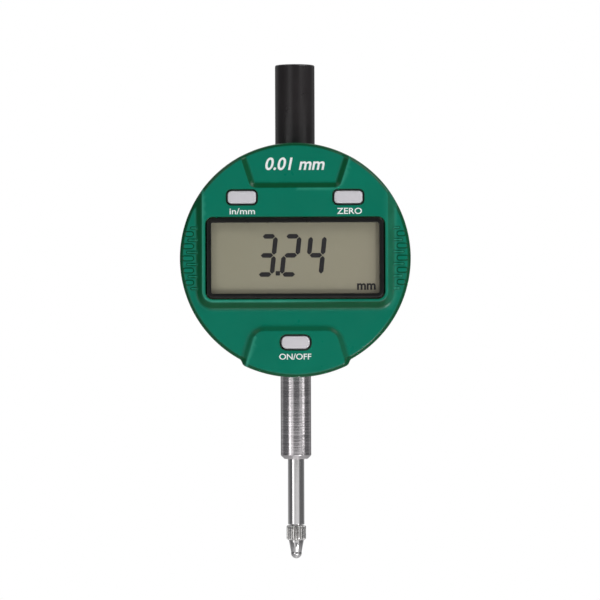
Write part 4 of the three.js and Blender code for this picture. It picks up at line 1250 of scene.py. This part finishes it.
def case_screws():
    """Four countersunk screws with cross recesses, each turned a little further than the last."""
    for number in range(1, 5):
        node = f"case_screw_{number}"
        low, high = mm_box(node)
        x, z = face_place(node)
        y, r = high.y, (high.x - low.x) / 2
        profile = [(0, low.y), (0.8, low.y), (1.0, low.y + 0.4), (1.0, y - 0.95), (r, y - 0.95, 0.1)]
        profile += [(r, y - 0.25, 0.15), (r - 0.5, y - 0.04, 0.2), (0, y)]
        screw = turned(f"back_screw_{number}", profile, steps=3, axis="Y", x=x, other=z, segments=48)
        centre = np.array([x, z])
        arms = []
        for k in range(2):
            outline = round_rect(2.3, 0.5, 0.12, 0, 0, 3)
            angle = 0.4 * number + k * math.pi / 2
            c, s = math.cos(angle), math.sin(angle)
            u, v = outline[:, 0] * c - outline[:, 1] * s + x, outline[:, 0] * s + outline[:, 1] * c + z
            spun = np.stack([u, v], axis=1)
            arms.append(loft(f"cut_arm_{k}", [(spun, y + 0.5), (centre + (spun - centre) * 0.55, y - 0.75)]))
        boolean(screw, "DIFFERENCE", *arms, sharp=30)
        settle(screw, "case", "steel", SCREW, node)


# ---------------------------------------------------------------- studio


def floor():
    """A plain pale floor well below the indicator, which the camera sees a little brighter than it is lit."""
    n = Nodes("studio_floor")
    soft = n.noise(6.0, 3.0)
    fine = n.noise(900.0, 3.0)
    tint = n.blend(n.remap(soft, 0.0, 1.0), (0.86, 0.86, 0.86, 1), (0.9, 0.9, 0.9, 1))
    shader = n.surface(tint, n.remap(soft, 0.75, 0.9), n.bump(fine, 0.0001, 0.2), Specular_IOR_Level=0.2)
    shader.inputs["Emission Color"].default_value = (1, 1, 1, 1)
    seen = n.node("LightPath").outputs["Is Camera Ray"]
    n.link(n.maths("MULTIPLY", seen, 0.8), shader.inputs["Emission Strength"])
    size, cells = 2600.0, 24
    z = mm_box("contact_ball")[0].z - 340
    ticks = [-size + 2 * size * i / cells for i in range(cells + 1)]
    verts = [(x, y, z) for y in ticks for x in ticks]
    row = cells + 1
    corners = [j * row + i for j in range(cells) for i in range(cells)]
    faces = [(a, a + 1, a + row + 1, a + row) for a in corners]
    obj = add_object("studio_floor", verts, faces, normals_out=False)
    obj.data.materials.append(n.material)


def soft_box(name, azimuth, height, distance, size, radiance, lean):
    """A rectangular light. Azimuth 0 is in front and 90 on the right, seen from the dial's axis, and height
    is over the dial's centre, in metres. It faces the axis, leaning down by an angle."""
    data = bpy.data.lights.new(name, "AREA")
    data.shape = "RECTANGLE"
    data.size, data.size_y = size
    data.energy = radiance * math.pi * size[0] * size[1]
    obj = bpy.data.objects.new(name, data)
    bpy.context.scene.collection.objects.link(obj)
    a, e = math.radians(azimuth), math.radians(lean)
    way = Vector((math.sin(a) * math.cos(e), -math.cos(a) * math.cos(e), math.sin(e)))
    obj.location = DIAL + Vector((math.sin(a) * distance, -math.cos(a) * distance, height))
    obj.rotation_euler = (-way).to_track_quat("-Z", "Y").to_euler()
    obj.visible_camera = False


LIGHTS = (  # name, azimuth, height, distance, size, radiance, lean
    ("strip_left", -46, -0.145, 0.75, (0.18, 0.25), 2.4, 0),
    ("fill_left", -28, 0.0, 0.8, (0.26, 1.0), 0.75, 0),
    ("strip_right", 58, -0.055, 0.75, (0.22, 0.07), 3.2, 0),
    ("fill_right", 37, 0.0, 0.8, (0.26, 1.0), 0.45, 0),
    ("front_low", 8, -0.225, 0.76, (0.62, 0.15), 0.6, 0),
    ("kicker_low", 9, -0.5, 0.65, (0.06, 0.07), 66.0, -38),
    ("kicker_middle", 29, -0.4, 0.72, (0.06, 0.07), 110.0, -28),
    ("side_right", 72, 0.52, 0.75, (0.34, 0.3), 2.9, 34),
    ("top_left", -50, 0.6, 0.6, (0.5, 0.4), 1.3, 45),
    ("top_right", 50, 0.6, 0.6, (0.5, 0.4), 3.2, 45),
    ("front_under", 14, -0.38, 0.42, (0.4, 0.2), 2.0, -44),
    ("table_glow", 180, -0.33, 0.02, (0.12, 0.12), 0.5, -90),
    ("back_top", 180, 0.75, 0.6, (1.6, 1.0), 0.9, 52),
    ("back_left", -130, 0.1, 0.9, (0.5, 0.8), 0.22, 0),
    ("back_right", 132, 0.1, 0.9, (0.5, 0.8), 0.15, 0),
)


def lights():
    """The soft boxes, and a world that is white to the camera and dim as a light."""
    for light in LIGHTS:
        soft_box(*light)
    world = bpy.data.worlds.new("studio")
    bpy.context.scene.world = world
    world.use_nodes = True
    tree = world.node_tree
    tree.nodes.clear()
    output = tree.nodes.new("ShaderNodeOutputWorld")
    seen, lit = tree.nodes.new("ShaderNodeBackground"), tree.nodes.new("ShaderNodeBackground")
    seen.inputs["Color"].default_value = (1, 1, 1, 1)
    seen.inputs["Strength"].default_value = 1.0
    lit.inputs["Color"].default_value = (0.95, 0.97, 1, 1)
    lit.inputs["Strength"].default_value = 0.15
    path, mix = tree.nodes.new("ShaderNodeLightPath"), tree.nodes.new("ShaderNodeMixShader")
    tree.links.new(path.outputs["Is Camera Ray"], mix.inputs[0])
    tree.links.new(lit.outputs[0], mix.inputs[1])
    tree.links.new(seen.outputs[0], mix.inputs[2])
    tree.links.new(mix.outputs[0], output.inputs["Surface"])


CAMERA_ROLL = 0.2


def camera():
    """Square on to the face, from far enough away that the picture is nearly flat."""
    data = bpy.data.cameras.new("camera")
    data.sensor_width = 36.0
    distance, field = 0.9, 0.158
    data.lens = 36.0 * distance / field
    data.clip_end = 10.0
    obj = bpy.data.objects.new("camera", data)
    bpy.context.scene.collection.objects.link(obj)
    low, high = cad_box
    obj.location = ((low[0] + high[0]) / 2 + 0.00118, -distance, (low[2] + high[2]) / 2 + 0.0031)
    obj.rotation_euler = (math.pi / 2, math.radians(CAMERA_ROLL), 0)
    bpy.context.scene.camera = obj
    bpy.context.scene.view_settings.view_transform = "Standard"


# ---------------------------------------------------------------- the scene

camera()
lights()
floor()
dress_cad_nodes()
front_cover()
printed_labels()
display()
keys()
spindle_cap()
stem()
spindle()
contact_point()
rear_case()
port_cover()
lug_back()
battery_cover()
case_screws()
